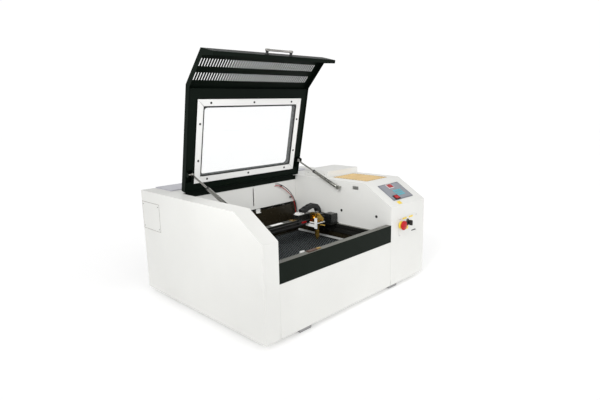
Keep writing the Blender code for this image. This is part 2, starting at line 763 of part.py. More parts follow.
def gas_strut(side, wall_x, inward):
    """One strut. The body turns on the cabinet wall, and the rod slides in it towards the lid."""
    x = wall_x + inward * STRUT_INSET
    pivot = Vector((x, STRUT_PIVOT.y, STRUT_PIVOT.z))
    on_strut = {"pivot": pivot, "tilt": strut_angle()}
    length = (STRUT_EYE - STRUT_PIVOT).length
    end = CYLINDER_LENGTH

    bm = bmesh.new()
    add_turned(
        bm, [(0, 0.0075), (0.0045, 0.0080), (CYLINDER_RADIUS, 0.016), (CYLINDER_RADIUS, end - 0.004),
             (CYLINDER_RADIUS - 0.002, end), (0, end)],
        pivot, (0, 1, 0), 20)
    cylinder = part(f"strut_cylinder_{side}", bm, material("strut_grey", (0.30, 0.30, 0.28), 0.4, 0.8),
                    **on_strut)
    cut(cylinder, cylinder_form(
        pivot + Vector((0, 0.030, 0)), pivot + Vector((0, end + 0.02, 0)), ROD_BORE, 16),
        **on_strut)
    eye = cylinder_form(
        pivot + Vector((-0.004, 0, 0)), pivot + Vector((0.004, 0, 0)), 0.0085, 20)
    join(cylinder, eye, **on_strut)
    wall = pivot - Vector((inward * (STRUT_INSET - GAP), 0, 0))
    join(cylinder, cylinder_form(pivot, wall, 0.0025, 12), **on_strut)

    tip = pivot + Vector((0, length, 0))
    bm = bmesh.new()
    add_cylinder(bm, pivot + Vector((0, ROD_START, 0)), tip - Vector((0, 0.004, 0)), ROD_RADIUS, 14)
    rod = part(f"strut_rod_{side}", bm, steel(), **on_strut)
    join(rod, cylinder_form(tip - Vector((0.004, 0, 0)), tip + Vector((0.004, 0, 0)), 0.0075, 20),
         **on_strut)
    stud = tip - Vector((inward * (STRUT_INSET - 0.0060), 0, 0))
    join(rod, cylinder_form(tip, stud, 0.0030, 12), **on_strut)


# Motion system


def y_rail(name, x, groove_side):
    """Guide rail on a chamber side wall, grooved on the side that faces the bed."""
    outer, inner = x, x + groove_side * RAIL_WIDTH
    low = RAIL_TOP_Z - RAIL_HEIGHT
    bm = bmesh.new()
    groove = inner - groove_side * 0.005
    outline = [(outer, low), (inner, low), (inner, low + 0.012), (groove, low + 0.015),
               (groove, low + 0.021), (inner, low + 0.024), (inner, RAIL_TOP_Z), (outer, RAIL_TOP_Z)]
    add_prism(bm, outline, 0.040, 0.548, axis="Y")
    part(name, bm, material("rail_black", (0.03, 0.03, 0.028), 0.4, 0.3))


def bed():
    """Aluminium edge frame with a lip along each side, on four legs, and the honeycomb panel in it."""
    low = BED_TOP_Z - 0.015
    inset = 0.0005
    bm = bmesh.new()
    add_box(bm, BED_X, BED_Y, (low, BED_TOP_Z))
    frame = part("bed_frame", bm, material("bed_aluminium", (0.62, 0.63, 0.63), 0.35, 0.9))
    hole_x = (BED_X[0] + BED_EDGE, BED_X[1] - BED_EDGE)
    hole_y = (BED_Y[0] + BED_EDGE, BED_Y[1] - BED_EDGE)
    cut(frame, box_form(hole_x, hole_y, (0.1, 0.2)))
    legs = bmesh.new()
    for x in (BED_X[0] + inset, BED_X[1] - inset - BED_LEG):
        for y in (BED_Y[0] + inset, BED_Y[1] - inset - BED_LEG):
            add_box(legs, (x, x + BED_LEG), (y, y + BED_LEG), (0.0639, low + 0.005))
    join(frame, legs)
    lips = bmesh.new()
    for x in (BED_X[0] + inset, BED_X[1] - inset - BED_LIP):
        add_box(lips, (x, x + BED_LIP), (hole_y[0], hole_y[1]), (BED_TOP_Z - 0.004, BED_TOP_Z + BED_LIP))
    join(frame, lips)
    bm = bmesh.new()
    inner = BED_EDGE + GAP
    add_box(bm, (BED_X[0] + inner, BED_X[1] - inner), (BED_Y[0] + inner, BED_Y[1] - inner),
            (BED_TOP_Z - 0.014, BED_TOP_Z - 0.002))
    part("honeycomb_bed", bm, material("honeycomb", (0.10, 0.11, 0.12), 0.4, 0.7))


def x_beam():
    """Gantry beam with a truck plate and skirt at each end, riding along both rails."""
    bm = bmesh.new()
    y0, y1 = BEAM_Y
    z0, z1 = BEAM_Z[0] - 0.0004, BEAM_Z[1]
    slot = 0.004
    mid = (z0 + z1) / 2
    outline = [(y0, z0), (y1, z0), (y1, z1), (y0, z1), (y0, mid + 0.005), (y0 + slot, mid + 0.003),
               (y0 + slot, mid - 0.003), (y0, mid - 0.005)]
    add_prism(bm, outline, CHAMBER_LEFT + 0.004, CHAMBER_RIGHT - 0.004)
    beam = part("x_beam", bm, material("beam_dark", (0.05, 0.055, 0.05), 0.4, 0.5))
    for low, high in ((0.070, 0.122), (0.645, 0.698)):
        join(beam, box_form((low, high), (0.285, 0.402), (0.2312, 0.2358)))
    for low, high in ((0.0807, 0.0880), (0.6800, 0.6873)):
        join(beam, box_form((low, high), (0.300, 0.395), (0.2060, 0.2330)))
    z = PULLEY.z
    join(beam, box_form((IDLER_X - 0.008, IDLER_X + 0.008), (0.3495, y0 + 0.001), (z - 0.008, z + 0.008)))
    join(beam, cylinder_form((IDLER_X, 0.3375, z), (IDLER_X, 0.3505, z), 0.0058, 20))


def x_motor():
    """Square stepper motor that drives the carriage belt, with its pulley side to the beam."""
    bm = bmesh.new()
    x, z = PULLEY.x, PULLEY.z
    add_box(bm, (x - 0.021, x + 0.021), (0.291, 0.333), (z - 0.021, z + 0.021))
    soften(bm, edges_along(bm, 1), 0.004, 2)
    motor = part("x_motor", bm, plastic_black())
    join(motor, cylinder_form((x, 0.332, z), (x, 0.3345, z), 0.011, 20))


def x_pulley():
    """Toothed drive pulley on the motor's shaft."""
    bm = bmesh.new()
    add_turned(
        bm, [(0, 0), (0.0080, 0), (0.0080, 0.0012), (0.0060, 0.0012), (0.0060, 0.0115),
             (0.0080, 0.0115), (0.0080, 0.0127), (0, 0.0127)],
        PULLEY, (0, 1, 0), 20)
    part("x_pulley", bm, steel(), pivot=PULLEY)


def x_belt():
    """Closed belt loop from the motor's pulley to the idler end of the beam."""
    wheel, thickness = 0.0064, 0.0014
    left, right = IDLER_X, PULLEY.x
    y0, y1 = 0.3385, 0.3455

    def loop(radius):
        points = []
        for centre, start in ((right, -90), (left, 90)):
            for step in range(9):
                angle = math.radians(start + 180 * step / 8)
                points.append((centre + radius * math.cos(angle), PULLEY.z + radius * math.sin(angle)))
        return points

    bm = bmesh.new()
    add_prism(bm, loop(wheel + thickness), y0, y1, axis="Y")
    belt = part("x_belt", bm, rubber())
    hole = bmesh.new()
    add_prism(hole, loop(wheel), y0 - 0.01, y1 + 0.01, axis="Y")
    cut(belt, hole)


def mirror_mount(name, centre, turn, foot_z, finish):
    """Adjustable mirror: a foot plate, a post and a round cell turned to fold the beam."""
    bm = bmesh.new()
    x, y, z = centre
    add_box(bm, (x - 0.014, x + 0.014), (y - 0.014, y + 0.014), (foot_z, foot_z + 0.004))
    obj = part(name, bm, finish)
    join(obj, box_form((x - 0.005, x + 0.005), (y - 0.005, y + 0.005), (foot_z + 0.002, z - 0.010)))
    facing = Vector((math.cos(turn), math.sin(turn), 0))
    middle = Vector(centre)
    join(obj, cylinder_form(middle - facing * 0.007, middle + facing * 0.005, 0.0165, 24))


def carriage():
    """Slider over the beam with the angle bracket that holds the laser head."""
    light = material("carriage_silver", (0.70, 0.71, 0.71), 0.35, 0.5)
    bm = bmesh.new()
    y0, y1 = BEAM_Y
    low, top = BEAM_Z[1] + GAP, 0.288
    outline = [(y0 - 0.005, top), (y0 - 0.005, 0.242), (y0 - 0.0006, 0.242), (y0 - 0.0006, low),
               (y1 + 0.0006, low), (y1 + 0.0006, 0.242), (y1 + 0.005, 0.242), (y1 + 0.005, top)]
    add_prism(bm, outline, 0.512, 0.600)
    obj = part("carriage", bm, light)
    join(obj, box_form((0.558, 0.562), (0.292, 0.3060), (0.230, 0.2780)))
    join(obj, box_form((0.558, 0.562), (0.300, 0.3590), (0.235, 0.2480)))
    join(obj, box_form((0.5605, 0.6095), (0.292, 0.3375), (0.2522, 0.2562)))
    cut(obj, box_form((0.55, 0.57), (0.3380, 0.3462), (PULLEY.z - 0.0084, PULLEY.z + 0.0084)))
    cut(obj, cylinder_form((HEAD.x, HEAD.y, 0.24), (HEAD.x, HEAD.y, 0.26), 0.0125))
    return obj


def mirror_mount_3():
    """Brass head: 45 degree mirror block over the shelf, and the clamp collar for the lens tube."""
    x, y = HEAD.x, HEAD.y
    bm = bmesh.new()
    outline = [(x - 0.0215, 0.2568), (x + 0.0225, 0.2568), (x + 0.0225, 0.2690), (x - 0.0060, 0.2985),
               (x - 0.0215, 0.2985)]
    add_prism(bm, outline, y - 0.021, y + 0.021, axis="Y")
    obj = part("mirror_mount_3", bm, brass())
    join(obj, cylinder_form((x, y, 0.2440), (x, y, 0.2600), 0.0118, 28))
    join(obj, cylinder_form((x, y, 0.2260), (x, y, 0.2500), 0.0140, 28))
    start = Vector((x + 0.009, y - 0.006, 0.240))
    reach = Vector((0.019, -0.016, -0.005))
    join(obj, cylinder_form(start, start + reach, 0.0036, 12))
    cut(obj, cylinder_form((x, y, 0.2150), (x, y, 0.2700), LENS_BORE, 24))
    port = cylinder_form((x - 0.04, y, HEAD.z + 0.004), (x - 0.010, y, HEAD.z + 0.004), 0.009, 20)
    cut(obj, port)


def lens_tube():
    """Lens tube and nozzle. It slides in the collar to focus."""
    tip = NOZZLE_TIP_Z
    bm = bmesh.new()
    add_turned(
        bm, [(0, tip), (0.0030, tip), (0.0074, tip + 0.010), (SLEEVE_RADIUS, tip + 0.013),
             (SLEEVE_RADIUS, SLEEVE_TOP_Z), (LENS_RADIUS, SLEEVE_TOP_Z + 0.001),
             (LENS_RADIUS, 0.258), (0, 0.258)],
        (HEAD.x, HEAD.y, 0), (0, 0, 1), 28)
    obj = part("lens_tube", bm, brass(), pivot=(HEAD.x, HEAD.y, tip))
    cut(obj, cylinder_form((HEAD.x, HEAD.y, tip + 0.010), (HEAD.x, HEAD.y, 0.27), 0.0050, 16))


def drag_chain():
    """Cable chain loop from the carriage over to the beam's right end."""
    width = 0.014
    y0 = BEAM_Y[0] + 0.009
    outline_top, outline_low = [], []
    path = chain_path()
    for index, point in enumerate(path):
        before = path[max(index - 1, 0)]
        after = path[min(index + 1, len(path) - 1)]
        along = (after - before).normalized()
        normal = Vector((-along.y, along.x))
        outline_top.append(tuple(point + normal * 0.0055))
        outline_low.append(tuple(point - normal * 0.0055))
    bm = bmesh.new()
    add_prism(bm, outline_top + outline_low[::-1], y0, y0 + width, axis="Y")
    part("drag_chain", bm, plastic_black())


def chain_path():
    """The chain's middle line as (x, z): out over the carriage, round a half turn, back to the beam."""
    corners = [Vector((0.548, 0.2950)), Vector((0.585, 0.3080)), Vector((0.618, 0.3140)),
               Vector((0.645, 0.3060)), Vector((0.658, 0.2880)), Vector((0.662, 0.2745))]
    points = []
    for index in range(len(corners) - 1):
        p0 = corners[max(index - 1, 0)]
        p1, p2 = corners[index], corners[index + 1]
        p3 = corners[min(index + 2, len(corners) - 1)]
        for step in range(4):
            t = step / 4
            points.append(0.5 * (2 * p1 + (p2 - p0) * t + (2 * p0 - 5 * p1 + 4 * p2 - p3) * t * t
                                 + (3 * p1 - p0 - 3 * p2 + p3) * t * t * t))
    points.append(corners[-1])
    return points


def y_drive():
    """Shaft across the back of the chamber that moves both gantry ends, and its motor."""
    y, z = DRIVE_SHAFT.yz
    bm = bmesh.new()
    add_cylinder(bm, (0.0700, y, z), (0.7180, y, z), 0.0040, 16)
    shaft = part("y_drive_shaft", bm, steel(), pivot=(CHAMBER_MIDDLE, y, z))
    for x in (0.0705, 0.6860):
        join(shaft, cylinder_form((x, y, z), (x + 0.012, y, z), 0.0100, 20))
    bm = bmesh.new()
    add_box(bm, (0.7186, 0.7600), (y - 0.021, y + 0.021), (z - 0.021, z + 0.021))
    soften(bm, edges_along(bm, 0), 0.004, 2)
    part("y_motor", bm, plastic_black())


# Laser, electrics and exhaust


def laser_tube():
    x0, x1 = 0.130, 0.880
    bm = bmesh.new()
    add_turned(
        bm, [(0, 0), (0.009, 0), (0.009, 0.022), (0.0120, 0.030), (TUBE_RADIUS - 0.006, 0.034),
             (TUBE_RADIUS, 0.044), (TUBE_RADIUS, x1 - x0 - 0.044),
             (TUBE_RADIUS - 0.006, x1 - x0 - 0.034), (0.0120, x1 - x0 - 0.030),
             (0.009, x1 - x0 - 0.022), (0.009, x1 - x0), (0, x1 - x0)],
        (x0, *TUBE_AXIS.yz), (1, 0, 0), 28)
    part("laser_tube", bm, material("tube_glass", (0.85, 0.90, 0.90), 0.1, 0.0, 0.5))


def tube_cradle():
    """Long foot with two posts, each with a ring that holds the laser tube."""
    y, z = TUBE_AXIS.yz
    first, last = 0.290, 0.720
    bm = bmesh.new()
    add_box(bm, (first - 0.012, last + 0.012), (y - 0.030, y + 0.030), (0.0020, 0.0060))
    cradle = part("tube_cradle", bm, plastic_black())
    for x in (first, last):
        join(cradle, box_form((x - 0.0095, x + 0.0095), (y - 0.012, y + 0.012), (0.0040, z - 0.027)))
        join(cradle, cylinder_form((x - 0.010, y, z), (x + 0.010, y, z), 0.0310, 32))
    cut(cradle, cylinder_form((first - 0.02, y, z), (last + 0.02, y, z), TUBE_RADIUS + 0.0006, 32))


def power_supply():
    bm = bmesh.new()
    add_box(bm, (0.730, 0.890), (0.420, 0.600), (0.0020, 0.0780))
    soften(bm, list(bm.edges), 0.002, 1)
    part("power_supply", bm, material("supply_grey", (0.45, 0.45, 0.44), 0.4, 0.7))


def controller_board():
    bm = bmesh.new()
    add_box(bm, (0.730, 0.880), (0.180, 0.280), (0.0120, 0.0136))
    obj = part("controller_board", bm, material("board_green", (0.01, 0.12, 0.05), 0.4))
    chips = bmesh.new()
    for x, y, wide, deep, tall in (
            (0.740, 0.190, 0.020, 0.030, 0.012), (0.775, 0.200, 0.024, 0.024, 0.004),
            (0.815, 0.190, 0.016, 0.040, 0.010), (0.845, 0.195, 0.020, 0.060, 0.014)):
        add_box(chips, (x, x + wide), (y, y + deep), (0.0130, 0.0136 + tall))
    join(obj, chips)
    posts = bmesh.new()
    for x in (0.733, 0.872):
        for y in (0.183, 0.272):
            add_box(posts, (x, x + 0.005), (y, y + 0.005), (0.0020, 0.0130))
    join(obj, posts)


def mains_inlet():
    """Panel inlet for a detachable mains lead."""
    bm = bmesh.new()
    rounded_plate(bm, (0.826, 0.874), (DEPTH + GAP, DEPTH + 0.003), (0.078, 0.112), 0.003, axis=1)
    obj = part("mains_inlet", bm, plastic_black())
    join(obj, box_form((0.8356, 0.8644), (DEPTH - 0.025, DEPTH + 0.002), (0.0836, 0.1064)))
    cut(obj, box_form((0.8385, 0.8615), (DEPTH - 0.020, DEPTH + 0.010), (0.0860, 0.1040)))
    pins = bmesh.new()
    for x, z in ((0.8440, 0.0920), (0.8560, 0.0920), (0.8500, 0.0985)):
        add_box(pins, (x - 0.0015, x + 0.0015), (DEPTH - 0.022, DEPTH - 0.004), (z - 0.002, z + 0.002))
    join(obj, pins)


def exhaust():
    """Fan housing behind the rear panel, with the round outlet that takes the exhaust hose."""
    x, y, z = FAN
    bm = bmesh.new()
    add_box(bm, (x - 0.070, x + 0.070), (y - 0.004, y + 0.024), (z - 0.070, z + 0.070))
    soften(bm, edges_along(bm, 1), 0.006, 2)
    duct = part("exhaust_duct", bm, plastic_black())
    reach = DEPTH + FRONT_REACH
    join(duct, cylinder_form((x, y, z), (x, reach, z), 0.0625, 40))
    cut(duct, cylinder_form((x, y - 0.02, z), (x, reach + 0.01, z), 0.0595, 40))
    spokes = bmesh.new()
    add_box(spokes, (x - 0.0610, x + 0.0610), (y + 0.0215, y + 0.0235), (z - 0.0020, z + 0.0020))
    join(duct, spokes)
    join(duct, box_form((x - 0.0020, x + 0.0020), (y + 0.0210, y + 0.0240), (z - 0.0610, z + 0.0610)))
    join(duct, cylinder_form((x, y + 0.0200, z), (x, y + 0.0250, z), 0.0200, 28))
    fan_rotor()


def fan_rotor():
    x, y, z = FAN
    bm = bmesh.new()
    add_cylinder(bm, (x, y - 0.002, z), (x, y + 0.0190, z), 0.0190, 28)
    rotor = part("fan_rotor", bm, plastic_black(), pivot=(x, y + 0.0085, z))
    blades = bmesh.new()
    for index in range(7):
        verts = add_box(blades, (0.0170, 0.0560), (-0.0008, 0.0008), (-0.0105, 0.0105))
        lean = Matrix.Rotation(math.radians(38), 4, "X")
        spin = Matrix.Rotation(2 * math.pi * index / 7, 4, "Y")
        move = Matrix.Translation((x, y + 0.0085, z)) @ spin @ Matrix.Rotation(math.radians(90), 4, "X")
        bmesh.ops.transform(blades, matrix=move @ lean, verts=verts)
    join(rotor, blades)


def tube_cover():
    """Lift-up cover over the laser tube. It turns on the rear panel's upper edge."""
    bm = bmesh.new()
    add_box(bm, (CHAMBER_LEFT + 0.0008, 0.8797), (TUBE_BAY_Y + 0.0008, 0.7840), (0.4215, 0.4340))
    drop_faces(bm, lambda middle, normal: normal.z < -0.9)
    cover = part("tube_cover", bm, material("cover_lilac", (0.50, 0.50, 0.56), 0.4),
                 pivot=(CHAMBER_MIDDLE, 0.7850, 0.4345))
    folded(cover)


def wires():
    """The red and black leads that run from the hinge wall down the chamber's rear right corner."""
    routes = {
        "lead_red": [(0.560, 0.5640, 0.3925), (0.572, 0.5600, 0.3945), (0.596, 0.5585, 0.3860),
                     (0.632, 0.5565, 0.3600), (0.662, 0.5550, 0.3300), (0.682, 0.5555, 0.2880),
                     (0.689, 0.5560, 0.2400), (0.6905, 0.5575, 0.2020), (0.6905, 0.5628, 0.1880),
                     (0.6905, 0.5640, 0.1860)],
        "lead_black": [(0.566, 0.5640, 0.4020), (0.580, 0.5585, 0.4010), (0.608, 0.5550, 0.3880),
                       (0.644, 0.5535, 0.3600), (0.671, 0.5530, 0.3240), (0.688, 0.5535, 0.2840),
                       (0.6950, 0.5545, 0.2400), (0.6955, 0.5570, 0.2060), (0.6955, 0.5626, 0.1935),
                       (0.6955, 0.5640, 0.1915)],
    }
    colours = {"lead_red": (0.45, 0.02, 0.02), "lead_black": (0.015, 0.015, 0.015)}
    for name, route in routes.items():
        bm = swept_rod(smooth_route(route, 4), 0.0016)
        part(name, bm, material(f"{name}_sheath", colours[name], 0.45))


def smooth_route(route, steps):
    """Points along a smooth curve through the route's own points."""
    knots = [Vector(point) for point in route]
    points = []
    for index in range(len(knots) - 1):
        p0, p1 = knots[max(index - 1, 0)], knots[index]
        p2, p3 = knots[index + 1], knots[min(index + 2, len(knots) - 1)]
        for step in range(steps):
            t = step / steps
            points.append(0.5 * (2 * p1 + (p2 - p0) * t + (2 * p0 - 5 * p1 + 4 * p2 - p3) * t * t
                                 + (3 * p1 - p0 - 3 * p2 + p3) * t * t * t))
    points.append(knots[-1])
    return points


def build():
    clear_scene()
    make_collection(MODEL)
    make_collection(CUTTERS)
    base_pan()
    left_side_shell()
    access_plate_left()
    console_shell()
    sheet_outwards(front_panel(), (0.3, 0.01, 0.1))
    sheet_outwards(front_bar(), (0.3, 0.013, 0.23))
    rear_panel()
    hinge_bridge()
    chamber_tray()
    raised_cover()
    placard()
    feet()
    control_panel()
    rocker_switch()
    safety_plate()
    emergency_stop()
    key_switch()
    lid_sensor()
    lid_shell()
    lid_inner_panel()
    window_frame()
    window_pane()
    lid_handle()
    lid_hinge()
    gas_strut("left", CHAMBER_LEFT, 1)
    gas_strut("right", CHAMBER_RIGHT, -1)
    y_rail("y_rail_left", CHAMBER_LEFT + GAP, 1)
    y_rail("y_rail_right", CHAMBER_RIGHT - GAP, -1)
    bed()
    x_beam()
    x_motor()
    x_pulley()
    x_belt()
    mirror_mount("mirror_mount_1", (0.096, TUBE_AXIS.y, TUBE_AXIS.z), math.radians(-45), 0.002, brass())
    mirror_mount("mirror_mount_2", (0.096, HEAD.y, HEAD.z), math.radians(45), 0.2362, brass())
    carriage()
    mirror_mount_3()
    lens_tube()
    drag_chain()
    y_drive()
    laser_tube()
    tube_cradle()
    power_supply()
    controller_board()
    mains_inlet()
    exhaust()
    tube_cover()
    wires()


build()
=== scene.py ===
"""Looks of the desktop laser cutter: finishes, small fittings, floor, light and camera.

The CAD frame sets every place and size. Sizes here are in metres, counted from the cabinet's front
left lower corner: x to the right along the front, y to the back and z up from the underside.
"""

import json
import math
import random

import bmesh
import bpy
from mathutils import Euler, Matrix, Vector


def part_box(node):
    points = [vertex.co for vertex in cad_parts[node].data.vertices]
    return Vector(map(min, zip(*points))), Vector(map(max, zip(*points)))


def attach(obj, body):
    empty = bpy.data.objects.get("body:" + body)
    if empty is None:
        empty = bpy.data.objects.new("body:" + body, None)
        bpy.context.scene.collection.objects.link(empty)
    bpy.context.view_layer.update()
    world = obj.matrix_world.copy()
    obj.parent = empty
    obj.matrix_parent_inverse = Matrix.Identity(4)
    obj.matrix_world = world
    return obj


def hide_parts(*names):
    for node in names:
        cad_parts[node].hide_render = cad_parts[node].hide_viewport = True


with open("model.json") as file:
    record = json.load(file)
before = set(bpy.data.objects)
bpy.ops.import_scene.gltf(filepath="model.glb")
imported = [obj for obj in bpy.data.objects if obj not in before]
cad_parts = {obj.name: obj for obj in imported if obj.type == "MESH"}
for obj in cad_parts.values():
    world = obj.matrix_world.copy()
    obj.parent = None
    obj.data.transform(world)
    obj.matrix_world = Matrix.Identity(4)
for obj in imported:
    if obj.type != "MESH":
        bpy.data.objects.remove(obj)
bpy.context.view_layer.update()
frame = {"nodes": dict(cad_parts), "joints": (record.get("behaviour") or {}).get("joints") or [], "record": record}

NODES = frame["nodes"]
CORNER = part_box("left_side_shell")[0]
BODY_OF = {
    node: body for body, nodes in frame["record"]["behaviour"]["bodies"].items() for node in nodes}
JOINTS = {joint["name"]: joint for joint in frame["joints"]}
HINGE = Vector(JOINTS["lid_hinge_turn"]["pos_m"])
LID_OPEN = math.radians(JOINTS["lid_hinge_turn"]["range_deg"][1])
ON_LID = Matrix.Translation(HINGE) @ Matrix.Rotation(-LID_OPEN, 4, "X") @ Matrix.Translation(-HINGE)
SLOPE_RUN = 0.140
SLOPE_RISE = 0.088
SLOPE = math.atan2(SLOPE_RISE, SLOPE_RUN)
SLOPE_FRONT_Z = 0.342
CONSOLE_TOP_Z = SLOPE_FRONT_Z + SLOPE_RISE
CHAMBER_MIDDLE = 0.384
RIGHT_WALL_X = 0.7019
REAR_WALL_Y = 0.5678
SHEET_ROUND = 0.0006
SOLID_ROUND = 0.0004
BEVEL_STEPS = 2
BED_LIP_LOW_Z = 0.1655
BRACKET_BACK_Y = 0.3569
TUBE_Y = 0.718
TUBE_Z = 0.277
FLOOR_RADIUS = 14.0
FLOOR_GLOW = 0.16
SURROUND_LIGHT = 0.52
SURROUND_SEEN = 1.02
SUNS = (
    ("side_light", (-0.80, -0.30, 0.50), 1.20, 70),
    ("front_light", (0.12, -0.88, 0.45), 0.85, 70),
    ("back_light", (0.60, 0.62, 0.50), 0.35, 80),
)
CHAMBER_LIGHT = 62
CHAMBER_LIGHT_PLACE = (-1.25, -0.75, 1.35)
CHAMBER_LIGHT_AIM = (0.20, 0.0, 0.34)
CAMERA_PLACE = (-0.8949, -1.0725, 0.7673)
CAMERA_TURN = (78.5077, 1.2560, -45.0174)
CAMERA_LENS = 28.0
rng = random.Random(7)


def local(node):
    """A node's lowest and highest corners, counted from the cabinet's corner."""
    low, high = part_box(node)
    return low - CORNER, high - CORNER


# Node materials


class Finish:
    """A Principled material whose colour, gloss and relief come from noise in object space."""

    def __init__(self, name, colour, rough, metallic=0.0):
        self.material = bpy.data.materials.new(name)
        self.material.use_nodes = True
        self.tree = self.material.node_tree
        self.shader = self.tree.nodes["Principled BSDF"]
        self.shader.inputs["Metallic"].default_value = metallic
        self.colour = colour
        self.rough = rough
        self.coords = self.tree.nodes.new("ShaderNodeTexCoord")

    def noise(self, scale, stretch=(1, 1, 1), detail=3.0):
        """Soft noise in the piece's own space, from 0 to 1."""
        mapping = self.tree.nodes.new("ShaderNodeMapping")
        mapping.inputs["Scale"].default_value = stretch
        self.tree.links.new(self.coords.outputs["Object"], mapping.inputs["Vector"])
        noise = self.tree.nodes.new("ShaderNodeTexNoise")
        noise.inputs["Scale"].default_value = scale
        noise.inputs["Detail"].default_value = detail
        self.tree.links.new(mapping.outputs["Vector"], noise.inputs["Vector"])
        return noise.outputs["Fac"]

    def ramp(self, factor, low, high, start=0.3, end=0.7):
        """A colour between two, by a factor."""
        ramp = self.tree.nodes.new("ShaderNodeValToRGB")
        ramp.color_ramp.elements[0].position = start
        ramp.color_ramp.elements[1].position = end
        ramp.color_ramp.elements[0].color = (*low, 1.0)
        ramp.color_ramp.elements[1].color = (*high, 1.0)
        self.tree.links.new(factor, ramp.inputs["Fac"])
        return ramp.outputs["Color"]

    def tint(self, scale, spread, stretch=(1, 1, 1)):
        """The base colour, a little lighter and darker in soft patches."""
        low = [max(0.0, c * (1 - spread)) for c in self.colour]
        high = [min(1.0, c * (1 + spread)) for c in self.colour]
        self.tree.links.new(
            self.ramp(self.noise(scale, stretch), low, high), self.shader.inputs["Base Color"])
        return self

    def gloss(self, scale, spread, stretch=(1, 1, 1)):
        """Roughness that varies about its middle value."""
        remap = self.tree.nodes.new("ShaderNodeMapRange")
        remap.inputs["From Min"].default_value = 0.3
        remap.inputs["From Max"].default_value = 0.7
        remap.inputs["To Min"].default_value = max(0.02, self.rough - spread)
        remap.inputs["To Max"].default_value = min(1.0, self.rough + spread)
        self.tree.links.new(self.noise(scale, stretch), remap.inputs["Value"])
        self.tree.links.new(remap.outputs["Result"], self.shader.inputs["Roughness"])
        return self

    def relief(self, scale, height, stretch=(1, 1, 1), detail=2.0):
        """A fine bumpy surface, height deep."""
        bump = self.tree.nodes.new("ShaderNodeBump")
        bump.inputs["Strength"].default_value = 1.0
        bump.inputs["Distance"].default_value = height
        self.tree.links.new(self.noise(scale, stretch, detail), bump.inputs["Height"])
        self.tree.links.new(bump.outputs["Normal"], self.shader.inputs["Normal"])
        return self

    def set(self, **sockets):
        """Constant values of the shader, with _ for a space in a socket's name."""
        for socket, value in sockets.items():
            self.shader.inputs[socket.replace("_", " ")].default_value = value
        return self


def powder(name, colour, rough, sheen=0.45):
    """Powder coat: fine orange peel, slight handling marks in the gloss."""
    finish = Finish(name, colour, rough).tint(5, 0.02).gloss(38, 0.05).relief(1300, 0.00006)
    return finish.set(Specular_IOR_Level=sheen)


def moulded(name, colour, rough, grain=2600):
    """Plastic, rubber or ink with a fine grain."""
    return Finish(name, colour, rough).tint(60, 0.08).gloss(120, 0.06).relief(grain, 0.00005)


def brushed(name, colour, rough, stretch, metallic=1.0):
    """Metal with fine lines along the axis that the stretch leaves short."""
    finish = Finish(name, colour, rough, metallic)
    return finish.tint(220, 0.07, stretch).gloss(300, 0.08, stretch).relief(420, 0.00002, stretch)


def glass(name, colour, alpha):
    """Smooth clear sheet that is mostly seen through."""
    finish = Finish(name, colour, 0.05).tint(8, 0.02).gloss(20, 0.03)
    return finish.set(Alpha=alpha, Specular_IOR_Level=0.5)


def glowing(name, colour, strength):
    """A dimly lit window with an uneven tint."""
    finish = Finish(name, colour, 0.16).tint(160, 0.5).gloss(60, 0.04)
    return finish.set(Emission_Color=(*colour, 1.0), Emission_Strength=strength)


